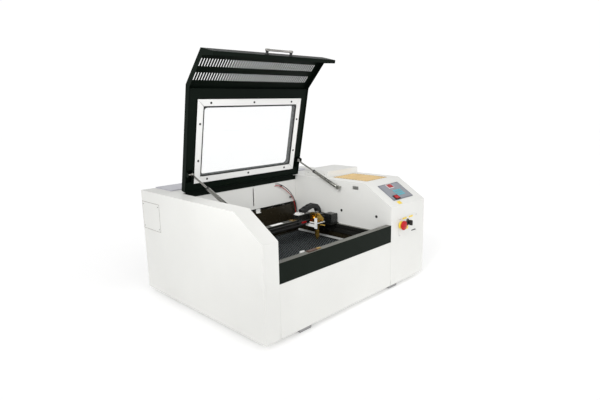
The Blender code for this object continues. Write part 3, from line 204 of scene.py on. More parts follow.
def make_finishes():
    """Every finish of the machine, by the name that the pieces call it."""
    white = (0.715, 0.715, 0.690)
    return {
        "white": powder("white_powder_coat", white, 0.42),
        "black": powder("black_powder_coat", (0.0045, 0.0080, 0.0055), 0.42, sheen=0.05),
        "bar_black": powder("bar_black_coat", (0.0060, 0.0095, 0.0065), 0.42, sheen=0.06),
        "tray": Finish("tray_enamel", (0.020, 0.016, 0.009), 0.26).tint(9, 0.12).gloss(22, 0.06)
        .relief(900, 0.00005).set(Specular_IOR_Level=0.30),
        # frame_white is the cabinet white made lighter: painted light that makes up for the shade on the open
        # lid's inner face. The beam label, display bezel and carriage bracket share it.
        "frame_white": powder("frame_white_coat", (0.88, 0.88, 0.865), 0.33),
        "chrome": Finish("chrome_plate", (0.42, 0.41, 0.385), 0.12, 1.0).tint(40, 0.04)
        .gloss(160, 0.05).relief(900, 0.00001),
        "strut": brushed("strut_satin_steel", (0.33, 0.33, 0.30), 0.22, (40, 1, 40)),
        "rail": brushed("rail_anodised", (0.028, 0.028, 0.025), 0.32, (60, 1, 60), 0.6),
        # ledge: black paint lightened to olive grey, painted sheen on the upward faces of dark parts: the front
        # bar flange, the rail tops and the beam top.
        "ledge": powder("ledge_painted_sheen", (0.13, 0.13, 0.112), 0.34),
        "beam": brushed("beam_anodised", (0.014, 0.014, 0.012), 0.34, (1, 60, 60), 0.3),
        "motor": moulded("motor_black", (0.008, 0.009, 0.009), 0.28, 1800),
        "aluminium": brushed("drawn_aluminium", (0.66, 0.67, 0.66), 0.36, (40, 1, 40), 0.25),
        # comb and comb_rim are one foil in two tones: walls near black as painted shade inside the cells, rims
        # lighter as painted light on the edges.
        "comb": brushed("honeycomb_foil", (0.010, 0.013, 0.014), 0.45, (20, 20, 1), 0.5),
        "comb_rim": brushed("honeycomb_rim_lit", (0.30, 0.34, 0.35), 0.38, (20, 20, 1), 0.4),
        "brass": brushed("machined_brass", (0.52, 0.33, 0.075), 0.24, (1, 1, 40)),
        "plastic": moulded("moulded_black", (0.012, 0.012, 0.013), 0.42),
        "rubber": moulded("pad_rubber", (0.30, 0.30, 0.30), 0.75, 1500),
        "belt": moulded("belt_rubber", (0.014, 0.014, 0.014), 0.70, 1500),
        "red": moulded("red_gloss_plastic", (0.44, 0.006, 0.010), 0.30, 3500)
        .set(Specular_IOR_Level=0.25),
        "yellow": moulded("yellow_gloss_plastic", (0.82, 0.60, 0.05), 0.35, 3000),
        "panel": moulded("membrane_grey", (0.235, 0.245, 0.275), 0.34, 5000),
        "cyan": moulded("membrane_cyan", (0.10, 0.38, 0.45), 0.38, 4000),
        "card": Finish("ochre_card", (0.74, 0.50, 0.19), 0.46).tint(24, 0.10).gloss(60, 0.08)
        .relief(2200, 0.00003),
        "card_line": moulded("card_border_ink", (0.17, 0.10, 0.035), 0.55, 2000),
        "cover": powder("cover_grey_coat", (0.50, 0.50, 0.545), 0.36),
        "supply": brushed("zinc_sheet", (0.55, 0.55, 0.54), 0.38, (40, 1, 40)),
        "board": moulded("circuit_board", (0.012, 0.13, 0.05), 0.34, 1800),
        "lead_red": moulded("red_insulation", (0.42, 0.022, 0.02), 0.38, 2500),
        "lead_black": moulded("black_insulation", (0.014, 0.014, 0.014), 0.38, 2500),
        "gasket": moulded("gasket_black", (0.009, 0.010, 0.009), 0.60, 1800),
        "sensor": moulded("sensor_white", (0.72, 0.72, 0.70), 0.40, 2600),
        "sensor_brown": moulded("sensor_brown", (0.075, 0.028, 0.014), 0.38, 2600),
        "dark_screw": Finish("blackened_screw", (0.016, 0.016, 0.016), 0.34, 0.4).tint(300, 0.2)
        .gloss(500, 0.08).relief(2500, 0.00002),
        "screw": Finish("zinc_screw", (0.52, 0.52, 0.51), 0.28, 1.0).tint(300, 0.10)
        .gloss(500, 0.08).relief(2500, 0.00002),
        "pane": glass("clear_pane", (0.90, 0.94, 0.95), 0.10),
        "tube": glass("tube_glass", (0.86, 0.93, 0.93), 0.35),
        "lamp": glowing("display_red", (0.30, 0.006, 0.010), 0.08),
    }


FINISH = make_finishes()


# Building blocks


def add_box(bm, x, y, z):
    """A box from its lowest and highest x, y and z."""
    low, high = Vector((x[0], y[0], z[0])), Vector((x[1], y[1], z[1]))
    matrix = Matrix.Translation((low + high) / 2) @ Matrix.Diagonal((*(high - low), 1))
    return bmesh.ops.create_cube(bm, size=1, matrix=matrix)["verts"]


def add_rod(bm, start, end, radius, segments):
    """A round rod between two points."""
    start, end = Vector(start), Vector(end)
    axis = end - start
    turn = Vector((0, 0, 1)).rotation_difference(axis).to_matrix().to_4x4()
    return bmesh.ops.create_cone(
        bm, cap_ends=True, segments=segments, radius1=radius, radius2=radius, depth=axis.length,
        matrix=Matrix.Translation((start + end) / 2) @ turn)["verts"]


def add_turned(bm, profile, centre, axis, segments=32):
    """A turned form from (radius, height) pairs along an axis. Pairs may start and end on it."""
    turn = Vector((0, 0, 1)).rotation_difference(Vector(axis)).to_matrix().to_4x4()
    matrix = Matrix.Translation(centre) @ turn
    verts = [bm.verts.new(matrix @ Vector((radius, 0, height))) for radius, height in profile]
    edges = [bm.edges.new(pair) for pair in zip(verts, verts[1:])]
    bmesh.ops.spin(
        bm, geom=verts + edges, cent=matrix.translation, axis=matrix.to_3x3() @ Vector((0, 0, 1)),
        angle=2 * math.pi, steps=segments, use_duplicate=False)
    bmesh.ops.remove_doubles(bm, verts=bm.verts, dist=1e-6)
    bmesh.ops.recalc_face_normals(bm, faces=bm.faces)


def add_outline(bm, points, step):
    """A flat closed outline, given as vectors, grown along a step into a solid."""
    face = bm.faces.new([bm.verts.new(point) for point in points])
    grown = bmesh.ops.extrude_face_region(bm, geom=[face])["geom"]
    bmesh.ops.translate(bm, verts=[v for v in grown if isinstance(v, bmesh.types.BMVert)], vec=step)
    bmesh.ops.recalc_face_normals(bm, faces=bm.faces)


def piece(name, bm, finish, body, matrix=None, bevel=0.0, smooth=35):
    """Makes a mesh object from cabinet sizes, moves it to its place and rides it on a body."""
    bmesh.ops.transform(bm, matrix=Matrix.Translation(CORNER), verts=bm.verts)
    if matrix is not None:
        bmesh.ops.transform(bm, matrix=matrix, verts=bm.verts)
    mesh = bpy.data.meshes.new(name)
    bm.to_mesh(mesh)
    bm.free()
    return shown(name, mesh, finish, body, bevel, smooth)


def shown(name, mesh, finish, body, bevel, smooth):
    """Puts a mesh in the scene with its finish, rounded edges and body."""
    mesh.shade_smooth()
    mesh.set_sharp_from_angle(angle=math.radians(smooth))
    obj = bpy.data.objects.new(name, mesh)
    bpy.context.scene.collection.objects.link(obj)
    obj.data.materials.append(FINISH[finish].material)
    if bevel:
        soft = obj.modifiers.new("rounded", "BEVEL")
        soft.width = bevel
        soft.segments = BEVEL_STEPS
        soft.limit_method = "ANGLE"
        soft.angle_limit = math.radians(smooth)
        soft.harden_normals = True
    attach(obj, body)
    return obj


def refined(node, finish, bevel=0.0, smooth=35):
    """The CAD piece with welded faces and rounded edges, in place of the faceted one."""
    bm = bmesh.new()
    bm.from_mesh(NODES[node].data)
    bmesh.ops.remove_doubles(bm, verts=bm.verts, dist=2e-6)
    bmesh.ops.dissolve_limit(
        bm, angle_limit=math.radians(0.3), verts=bm.verts, edges=bm.edges)
    mesh = bpy.data.meshes.new(f"{node}_body")
    bm.to_mesh(mesh)
    bm.free()
    if mesh.attributes.get("custom_normal"):
        mesh.attributes.remove(mesh.attributes["custom_normal"])
    while mesh.uv_layers:
        mesh.uv_layers.remove(mesh.uv_layers[0])
    obj = shown(f"{node}_body", mesh, finish, BODY_OF[node], bevel, smooth)
    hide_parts(node)
    return obj


def repaint(obj, finish, test):
    """Gives a second finish to the faces whose middle, in cabinet sizes, passes a test."""
    obj.data.materials.append(FINISH[finish].material)
    for face in obj.data.polygons:
        if test(Vector(face.center) - CORNER):
            face.material_index = len(obj.data.materials) - 1


def slope_matrix(along, up, height):
    """Frame on the sloped console: x along the front, y up the slope, z out of the face."""
    run = math.hypot(SLOPE_RUN, SLOPE_RISE)
    base = Matrix.Translation((along, 0, SLOPE_FRONT_Z)) @ Matrix.Rotation(SLOPE, 4, "X")
    return base @ Matrix.Translation((0, run * up, height))


def on_slope(bm, along, up, height):
    """Moves a form made round the origin onto the sloped console."""
    bmesh.ops.transform(bm, matrix=slope_matrix(along, up, height), verts=bm.verts)


# CAD pieces that keep their shape


def refine_all():
    """Each CAD piece by its finish. Sheet metal has a wider rounding than solid parts."""
    sheets = {
        "white": ("base_pan left_side_shell console_shell front_panel rear_panel hinge_bridge "
                  "raised_cover access_plate_left"),
        "bar_black": "front_bar",
        "black": "lid_inner_panel lid_hinge",
        "tray": "chamber_tray",
        "cover": "tube_cover",
    }
    for finish, nodes in sheets.items():
        for node in nodes.split():
            refined(node, finish, SHEET_ROUND)
    refined("lid_shell", "black", SOLID_ROUND)
    solids = {
        "rubber": "foot_left_front foot_left_rear foot_right_front foot_right_rear",
        "plastic": ("rocker_bezel exhaust_duct fan_rotor tube_cradle y_motor mains_inlet "
                    "key_barrel key"),
        "white": "safety_plate",
        "red": "power_rocker estop_button",
        "yellow": "estop_collar",
        "panel": "control_panel",
        "sensor": "lid_sensor",
        "beam": "x_beam",
        "brass": "mirror_mount_1 mirror_mount_2 mirror_mount_3",
        "supply": "power_supply",
        "board": "controller_board",
        "chrome": "x_pulley y_drive_shaft strut_rod_left strut_rod_right",
        "strut": "strut_cylinder_left strut_cylinder_right",
        "rail": "y_rail_left y_rail_right",
        "belt": "x_belt",
        "lead_red": "lead_red",
        "lead_black": "lead_black",
        "pane": "window_pane",
        "tube": "laser_tube",
    }
    rounding = {"rubber": 0.0, "lead_red": 0.0, "lead_black": 0.0, "tube": 0.0, "pane": 0.0,
                "belt": 0.0002, "red": 0.0003}
    for finish, nodes in solids.items():
        for node in nodes.split():
            refined(node, finish, rounding.get(finish, SOLID_ROUND))
    refined("lens_tube", "brass", 0.0003, smooth=25)
    bed = refined("bed_frame", "rail", SOLID_ROUND)
    repaint(bed, "aluminium", lambda middle: middle.z > BED_LIP_LOW_Z)
    saddle = refined("carriage", "motor", SOLID_ROUND)
    repaint(saddle, "frame_white", lambda middle: middle.y < BRACKET_BACK_Y)


# Screws


def screw_mesh(radius, height):
    """Pan head with a cross recess, standing on z = 0."""
    bm = bmesh.new()
    add_turned(
        bm, [(0, 0), (radius, 0), (radius, height * 0.45), (radius * 0.86, height * 0.8),
             (radius * 0.5, height * 0.98), (0, height)],
        (0, 0, 0), (0, 0, 1), 20)
    head = bpy.data.meshes.new("screw_head")
    bm.to_mesh(head)
    bm.free()
    bm = bmesh.new()
    arm, half = radius * 0.62, radius * 0.13
    add_box(bm, (-arm, arm), (-half, half), (height * 0.45, height * 2))
    add_box(bm, (-half, half), (-arm, arm), (height * 0.40, height * 2.1))
    slot = bpy.data.meshes.new("screw_slot")
    bm.to_mesh(slot)
    bm.free()
    head_obj = bpy.data.objects.new("screw_head", head)
    slot_obj = bpy.data.objects.new("screw_slot", slot)
    for obj in (head_obj, slot_obj):
        bpy.context.scene.collection.objects.link(obj)
    boolean = head_obj.modifiers.new("recess", "BOOLEAN")
    boolean.object = slot_obj
    boolean.use_self = True
    bpy.context.view_layer.update()
    graph = bpy.context.evaluated_depsgraph_get()
    made = bpy.data.meshes.new_from_object(head_obj.evaluated_get(graph))
    for obj in (head_obj, slot_obj):
        bpy.data.objects.remove(obj)
    return made


LARGE_SCREW = screw_mesh(0.0043, 0.0024)
SCREW = screw_mesh(0.0034, 0.0019)
SMALL_SCREW = screw_mesh(0.0022, 0.0014)


def screws(name, places, axis, body, mesh=None, matrix=None, finish="screw"):
    """A group of alike screws. Each gets its own turn of the recess."""
    bm = bmesh.new()
    turn = Vector((0, 0, 1)).rotation_difference(Vector(axis)).to_matrix().to_4x4()
    for place in places:
        start = len(bm.verts)
        bm.from_mesh(mesh or SCREW)
        bm.verts.ensure_lookup_table()
        spin = Matrix.Rotation(rng.uniform(0, math.pi / 2), 4, "Z")
        where = Matrix.Translation(Vector(place)) @ turn @ spin
        bmesh.ops.transform(bm, matrix=where, verts=bm.verts[start:])
    return piece(name, bm, finish, body, matrix)


def cabinet_screws():
    """Screws of the access plate, the raised cover and the rear panel, and the plate's gap."""
    low, high = local("access_plate_left")
    places = [(0.0005, y, z) for y in (low.y + 0.010, high.y - 0.010)
              for z in (low.z + 0.011, high.z - 0.011)]
    screws("access_plate_screws", places, (-1, 0, 0), "cabinet", SMALL_SCREW,
           finish="dark_screw")
    bm = bmesh.new()
    add_seam(bm, low.yz, high.yz, 0.0009)
    piece("access_plate_seam", bm, "sensor_brown", "cabinet")
    low, high = local("raised_cover")
    places = [(low.x - 0.0001, y, low.z + 0.012) for y in (low.y + 0.025, high.y - 0.025)]
    screws("raised_cover_screws", places, (-1, 0, 0), "cabinet", SMALL_SCREW)
    low, high = local("rear_panel")
    back, inset, gaps = high.y, 0.012, 5
    places = []
    for index in range(gaps + 1):
        x = low.x + inset + index * (high.x - low.x - 2 * inset) / gaps
        places += [(x, back, low.z + 0.010), (x, back, high.z - 0.010)]
    for z in (0.150, 0.290):
        places += [(low.x + inset, back, z), (high.x - inset, back, z)]
    screws("rear_panel_screws", places, (0, 1, 0), "cabinet")


def add_seam(bm, low, high, width):
    """A thin dark shadow gap round a plate on the left side, flush with its face."""
    outer = [(low.x, low.y), (high.x, low.y), (high.x, high.y), (low.x, high.y)]
    inner = [(low.x + width, low.y + width), (high.x - width, low.y + width),
             (high.x - width, high.y - width), (low.x + width, high.y - width)]
    ring_of(bm, outer, inner, -0.0001, 0.0006)
    upright = Matrix(((0, 0, 1, 0), (1, 0, 0, 0), (0, 1, 0, 0), (0, 0, 0, 1)))
    bmesh.ops.transform(bm, matrix=upright, verts=bm.verts)


# Lid


def window_strips():
    """The window frame as four mitred strips on a backing, with its gasket and screws."""
    x0, x1, y0, y1 = 0.108, 0.660, 0.197, 0.534
    top, thick, strip, gap = 0.4131, 0.006, 0.028, 0.0011
    corners = [
        [(x0, y0), (x1, y0), (x1 - strip, y0 + strip), (x0 + strip, y0 + strip)],
        [(x0, y1), (x0 + strip, y1 - strip), (x1 - strip, y1 - strip), (x1, y1)],
        [(x0, y0), (x0 + strip, y0 + strip), (x0 + strip, y1 - strip), (x0, y1)],
        [(x1, y0), (x1, y1), (x1 - strip, y1 - strip), (x1 - strip, y0 + strip)],
    ]
    shifts = [(0, -gap), (0, gap), (-gap, 0), (gap, 0)]
    face_z = top - thick
    for side, outline, shift in zip(("front", "rear", "left", "right"), corners, shifts):
        bm = bmesh.new()
        points = [Vector((x + shift[0], y + shift[1], face_z)) for x, y in outline]
        for point in points:
            point.x = min(max(point.x, x0), x1)
            point.y = min(max(point.y, y0), y1)
        add_outline(bm, points, Vector((0, 0, 0.0022)))
        piece(f"window_strip_{side}", bm, "frame_white", "lid", ON_LID, bevel=0.0007)
    bm = bmesh.new()
    inset = 0.0012
    outer = [(x0 + inset, y0 + inset), (x1 - inset, y0 + inset), (x1 - inset, y1 - inset),
             (x0 + inset, y1 - inset)]
    reach = strip - 0.010
    inner = [(x0 + reach, y0 + reach), (x1 - reach, y0 + reach), (x1 - reach, y1 - reach),
             (x0 + reach, y1 - reach)]
    ring_of(bm, outer, inner, top - thick + 0.0024, top)
    backing = piece("window_backing", bm, "gasket", "lid", ON_LID, bevel=0.0003)
    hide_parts("window_frame")
    bm = bmesh.new()
    outer = rounded_outline(x0 + strip - 0.0016, x1 - strip + 0.0016, y0 + strip - 0.0016,
                            y1 - strip + 0.0016, 0.0100)
    inner = rounded_outline(x0 + strip + 0.0030, x1 - strip - 0.0030, y0 + strip + 0.0030,
                            y1 - strip - 0.0030, 0.0070)
    ring_of(bm, outer, inner, face_z - 0.0008, top - 0.0032)
    piece("window_gasket", bm, "gasket", "lid", ON_LID, bevel=0.0006)
    middle = strip / 2
    across = (0.168, CHAMBER_MIDDLE, 0.600)
    places = [(x, y, face_z) for y in (y0 + middle, y1 - middle) for x in across]
    places += [(x, y, face_z) for x in (x0 + middle, x1 - middle) for y in (0.292, 0.440)]
    screws("window_screws", places, (0, 0, -1), "lid", LARGE_SCREW, ON_LID,
           "dark_screw")


def ring_of(bm, outer, inner, low, high):
    """A flat ring between two outlines of as many points, as one closed solid."""
    rings = [[bm.verts.new((x, y, z)) for x, y in line] for line, z in
             ((outer, low), (inner, low), (inner, high), (outer, high))]
    count = len(outer)
    for index in range(4):
        for side in range(count):
            a, b = rings[index], rings[(index + 1) % 4]
            bm.faces.new((a[side], a[(side + 1) % count], b[(side + 1) % count], b[side]))
    bmesh.ops.recalc_face_normals(bm, faces=bm.faces)


def rounded_outline(x0, x1, y0, y1, radius, steps=5):
    """A rectangle's outline with round corners, as (x, y) points."""
    points = []
    centres = ((x1 - radius, y1 - radius), (x0 + radius, y1 - radius), (x0 + radius, y0 + radius),
               (x1 - radius, y0 + radius))
    for quarter, (x, y) in enumerate(centres):
        for step in range(steps + 1):
            angle = math.radians(90 * (quarter + step / steps))
            points.append((x + radius * math.cos(angle), y + radius * math.sin(angle)))
    return points


def lid_fittings():
    """The hinge's knuckles, and its leaf where it shows past the lid's sides."""
    count, first, pitch, length = 12, 0.090, 0.050, 0.0245
    y, z = 0.5740, 0.4330
    knuckles = bmesh.new()
    for index in range(count):
        start = first + index * pitch
        add_rod(knuckles, (start, y, z), (start + length, y, z), 0.0031, 16)
    piece("hinge_knuckles", knuckles, "black", "cabinet", bevel=0.0003)
    ends = bmesh.new()
    for low, high in ((0.0668, 0.0819), (0.6861, 0.7012)):
        add_box(ends, (low, high), (0.5665, 0.5679), (0.4090, 0.4290))
    piece("hinge_leaf_ends", ends, "black", "cabinet", bevel=0.0003)


def handle():
    """Chromed bar between two darker posts with washers, in place of the plain bow."""
    top_y, top_z, bottom_y, bottom_z, how_far_down = 0.005, 0.3455, 0.008, 0.2695, 0.80
    down = Vector((0, bottom_y - top_y, bottom_z - top_z))
    foot = Vector((CHAMBER_MIDDLE, top_y, top_z)) + down * how_far_down
    out = Vector((0, down.z, -down.y)).normalized()
    bm = bmesh.new()
    for side in (-1, 1):
        base = foot + Vector((side * 0.0625, 0, 0))
        add_turned(bm, [(0, 0.0002), (0.0088, 0.0002), (0.0088, 0.0014), (0.0062, 0.0030),
                        (0.0056, 0.0050), (0.0056, 0.0130), (0, 0.0130)], base, out, 28)
    piece("handle_posts", bm, "motor", "lid", ON_LID, bevel=0.0002)
    bm = bmesh.new()
    middle = foot + out * 0.0165
    across = Vector((1, 0, 0))
    add_turned(bm, [(0, -0.0700), (0.0042, -0.0700), (0.0052, -0.0690), (0.0052, -0.0540),
                    (0.0043, -0.0500), (0.0043, 0.0500), (0.0052, 0.0540), (0.0052, 0.0690),
                    (0.0042, 0.0700), (0, 0.0700)], middle, across, 28)
    bar = piece("handle_bar", bm, "chrome", "lid", ON_LID)
    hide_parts("lid_handle")


# Chamber


def honeycomb():
    """Foil ribbons bent into hexagons, cell by cell, across the whole bed."""
    low, high = local("honeycomb_bed")
    side, foil, edge = 0.0070, 0.0010, 0.0006
    rise = side * math.sin(math.radians(60))
    bm = bmesh.new()
    rows = int((high.y - low.y) / rise)
    for row in range(rows):
        y = low.y + row * rise + edge
        x, up = low.x + 0.0008, row % 2
        line = []
        lift = [0, rise * 0.96]
        while x < high.x - 0.001:
            line.append((x, y + lift[up % 2]))
            x += side
            if x < high.x - 0.001:
                line.append((x, y + lift[up % 2]))
            x += side / 2
            up += 1
        line = [(px, min(py, high.y - edge)) for px, py in line]
        lower = [bm.verts.new((px, py, low.z)) for px, py in line]
        upper = [bm.verts.new((px, py, high.z)) for px, py in line]
        for index in range(len(line) - 1):
            bm.faces.new((lower[index], lower[index + 1], upper[index + 1], upper[index]))
    # Foil walls take the near-black comb finish, painted shade in the cells; the solidified rims take the lighter
    # comb_rim finish, painted light on the edges.
    comb = piece("honeycomb_foil", bm, "comb", "cabinet", smooth=20)
    comb.data.materials.append(FINISH["comb_rim"].material)
    solid = comb.modifiers.new("foil", "SOLIDIFY")
    solid.material_offset_rim = 1
    solid.thickness = foil
    solid.offset = 0
    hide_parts("honeycomb_bed")


def chain_links():
    """The cable chain as separate links, each with two side plates and two cross bars."""
    knots = [Vector(p) for p in ((0.548, 0.2950), (0.585, 0.3080), (0.618, 0.3140), (0.645, 0.3060),
                                 (0.658, 0.2880), (0.662, 0.2745))]
    points = smooth_line(knots, 12)
    lengths = [0.0]
    for a, b in zip(points, points[1:]):
        lengths.append(lengths[-1] + (b - a).length)
    count, plate = 12, 0.0026
    bm = bmesh.new()
    for index in range(count):
        middle = lengths[-1] * (index + 0.5) / count
        where = next(i for i, run in enumerate(lengths) if run >= middle)
        a, b = points[where - 1], points[where]
        along = (b - a).normalized()
        spot = a.lerp(b, (middle - lengths[where - 1]) / (lengths[where] - lengths[where - 1]))
        frame_at = Matrix.Translation((spot.x, 0.378, spot.y)) @ Matrix.Rotation(
            -math.atan2(along.y, along.x), 4, "Y")
        half = lengths[-1] / count * 0.56
        tall = 0.0094 if index % 2 else 0.0106
        bar, wide = (-half * 0.5, half * 0.5), 0.0120
        verts = []
        for y in (-wide, wide - plate):
            verts += add_box(bm, (-half, half), (y, y + plate), (-tall, tall))
        verts += add_box(bm, bar, (-wide, wide), (tall - 0.0022, tall + 0.0004))
        verts += add_box(bm, bar, (-wide, wide), (-tall - 0.0004, 0.0022 - tall))
        bmesh.ops.transform(bm, matrix=frame_at, verts=verts)
    chain = piece("chain_links", bm, "plastic", "laser_head", bevel=0.0005)
    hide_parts("drag_chain")


def smooth_line(knots, steps):
    """A smooth curve through the knots, as that many points for each stretch."""
    points = []
    for index in range(len(knots) - 1):
        p0, p1 = knots[max(index - 1, 0)], knots[index]
        p2, p3 = knots[index + 1], knots[min(index + 2, len(knots) - 1)]
        for step in range(steps):
            t = step / steps
            points.append(0.5 * (2 * p1 + (p2 - p0) * t + (2 * p0 - 5 * p1 + 4 * p2 - p3) * t * t
                                 + (3 * p1 - p0 - 3 * p2 + p3) * t * t * t))
    points.append(knots[-1])
    return points


def gantry_fittings():
    """Two strips of painted sheen on the beam's top, a plain tag and a stop on the beam, and the motor with its
    end caps.
    """
    bm = bmesh.new()
    # Olive-grey strips on the dark beam's top: painted sheen where light falls on it.
    for y in (0.3640, 0.3820):
        add_box(bm, (0.124, 0.640), (y, y + 0.0060), (0.2679, 0.2682))
    piece("beam_top_sheen", bm, "ledge", "gantry", bevel=0.0001)
    bm = bmesh.new()
    rounded_tile(bm, (0.365, 0.430), (0.3665, 0.3855), (0.2677, 0.2687), 0.0020)
    piece("beam_label_plain", bm, "frame_white", "gantry", bevel=0.0001)
    bm = bmesh.new()
    rounded_tile(bm, (0.480, 0.5105), (0.3660, 0.3860), (0.2677, 0.2700), 0.0025)
    piece("beam_stop", bm, "brass", "gantry", bevel=0.0004)
    bm = bmesh.new()
    for y in (0.2908, 0.3240):
        add_box(bm, (0.6543, 0.6967), (y, y + 0.0092), (0.2361, 0.2783))
    piece("x_motor_caps", bm, "motor", "gantry", bevel=0.0012)
    refined("x_motor", "motor", SOLID_ROUND)


def head_fittings():
    """Adjusters, knob and posts on the brass head, rings on the lens tube, and the wiring end."""
    bm = bmesh.new()
    x, y = 0.585, 0.315
    for dx, z in ((-0.012, 0.262), (-0.012, 0.292), (0.010, 0.262)):
        add_turned(bm, [(0, 0.0), (0.0032, 0.0), (0.0032, 0.0012), (0.0046, 0.0020),
                        (0.0046, 0.0052), (0.0036, 0.0060), (0, 0.0060)],
                   (x + dx, y - 0.0212, z), (0, -1, 0), 20)
    piece("head_adjusters", bm, "brass", "laser_head", bevel=0.0002)
    bm = bmesh.new()
    for index in range(4):
        z = 0.1900 + 0.0075 * index
        add_turned(bm, [(0.0096, z - 0.0012), (0.0101, z - 0.0006), (0.0101, z + 0.0006),
                        (0.0096, z + 0.0012)], (x, y, 0), (0, 0, 1), 28)
    piece("lens_rings", bm, "brass", "focus_tube")
    bm = bmesh.new()
    add_turned(bm, [(0, 0), (0.0034, 0), (0.0034, 0.0030), (0.0048, 0.0036), (0.0048, 0.0080),
                    (0.0040, 0.0088), (0, 0.0088)], (x - 0.0136, y, 0.2380), (-1, 0, 0), 20)
    piece("collar_knob", bm, "brass", "laser_head", bevel=0.0002)
    bm = bmesh.new()
    for dx in (-0.0165, -0.0085):
        add_turned(bm, [(0, 0.2975), (0.0030, 0.2975), (0.0030, 0.3010), (0.0042, 0.3016),
                        (0.0042, 0.3052), (0.0034, 0.3060), (0, 0.3060)], (x + dx, y - 0.012, 0),
                   (0, 0, 1), 20)
    piece("mirror_springs", bm, "chrome", "laser_head", bevel=0.0002)
    bm = bmesh.new()
    rounded_tile(bm, (0.5135, 0.5560), (0.3630, 0.3890), (0.2881, 0.2925), 0.0030)
    rounded_tile(bm, (0.5180, 0.5300), (0.3640, 0.3860), (0.2900, 0.2975), 0.0020)
    piece("connector_block", bm, "sensor", "laser_head", bevel=0.0005)
    bm = bmesh.new()
    add_box(bm, (0.5300, 0.5560), (0.3520, 0.3568), (0.2500, 0.2580))
    piece("red_clip", bm, "red", "laser_head", bevel=0.0006)


def add_hem(bm, low, high):
    """A fine fold line on the console's inner wall, along its front, slope and top."""
    def line(inset):
        lean = inset * math.tan(SLOPE / 2)
        drop = inset / math.cos(SLOPE) - inset * math.tan(SLOPE)
        top = CONSOLE_TOP_Z - inset
        return [(inset, 0.270), (inset, SLOPE_FRONT_Z - drop), (SLOPE_RUN + lean, top),
                (0.500, top)]

    outer, inner = line(0.0085), line(0.0097)
    outline = [Vector((low, y, z)) for y, z in outer + inner[::-1]]
    add_outline(bm, outline, Vector((high - low, 0, 0)))


def chamber_fittings():
    """Small parts on the front bar, the rear wall, the console's inner wall and the tray."""
    bm = bmesh.new()
    add_box(bm, (0.215, 0.259), (0.0080, 0.0240), (0.2661, 0.2690))
    piece("catch_plate", bm, "sensor_brown", "cabinet", bevel=0.0008)
    bm = bmesh.new()
    add_box(bm, (0.261, 0.281), (0.0100, 0.0225), (0.2661, 0.2688))
    piece("catch_plunger", bm, "brass", "cabinet", bevel=0.0010)
    bm = bmesh.new()
    for y in (0.076, 0.270):
        add_turned(bm, [(0, 0.0), (0.0062, 0.0), (0.0062, 0.0007), (0.0048, 0.0015), (0, 0.0016)],
                   (RIGHT_WALL_X, y, 0.293), (-1, 0, 0), 24)
    piece("wall_plugs", bm, "gasket", "cabinet")
    bm = bmesh.new()
    add_box(bm, (0.7012, RIGHT_WALL_X), (0.173, 0.205), (0.398, 0.413))
    piece("wall_catch", bm, "supply", "cabinet", bevel=0.0002)
    bm = bmesh.new()
    add_hem(bm, 0.7017, RIGHT_WALL_X)
    piece("wall_hem", bm, "white", "cabinet")
    bm = bmesh.new()
    add_box(bm, (0.442, 0.466), (0.5640, REAR_WALL_Y), (0.281, 0.300))
    add_box(bm, (0.442, 0.466), (0.5560, REAR_WALL_Y), (0.281, 0.2826))
    piece("wall_bracket", bm, "white", "cabinet", bevel=0.0005)
    bm = bmesh.new()
    add_box(bm, (0.070, 0.698), (0.5650, 0.5677), (0.2962, 0.3010))
    piece("wall_lower_trim", bm, "black", "cabinet", bevel=0.0006)
    bm = bmesh.new()
    for x, z in ((0.600, 0.3885), (0.664, 0.3250), (0.6925, 0.2350)):
        add_box(bm, (x - 0.0060, x + 0.0060), (0.5600, 0.5676), (z - 0.0028, z + 0.0028))
    piece("lead_clips", bm, "plastic", "cabinet", bevel=0.0008)
    for side, edge in (("left", 0.0662), ("right", 0.7010)):
        bm = bmesh.new()
        add_box(bm, (edge, edge + 0.0008), (0.0300, 0.5660), (0.0630, 0.1915))
        piece(f"tray_side_{side}", bm, "tray", "cabinet", bevel=0.0002)
    # Thin olive-grey sheets on the dark rails' tops: painted sheen where light falls on them.
    for side, edge in (("left", 0.0664), ("right", 0.6884)):
        bm = bmesh.new()
        add_box(bm, (edge, edge + 0.0132), (0.0405, 0.5475), (0.2298, 0.2306))
        piece(f"rail_top_sheen_{side}", bm, "ledge", "cabinet", bevel=0.0002)
    # Olive-grey sheet on the black front bar's top flange: painted sheen of the light on the flange.
    bm = bmesh.new()
    add_box(bm, (0.0675, 0.7005), (0.0004, 0.0256), (0.2659, 0.2662))
    piece("bar_flange_sheen", bm, "ledge", "cabinet")


# Console


def rounded_tile(bm, x, y, z, corner):
    """A box whose four upright edges are round."""
    start = len(bm.verts)
    add_box(bm, x, y, z)
    bm.verts.ensure_lookup_table()
    verts = set(bm.verts[start:])
    edges = [e for e in bm.edges if e.verts[0] in verts and e.verts[1] in verts
             and abs((e.verts[0].co - e.verts[1].co).normalized().z) > 0.999]
    bmesh.ops.bevel(bm, geom=edges, offset=corner, segments=4, profile=0.5, affect="EDGES")


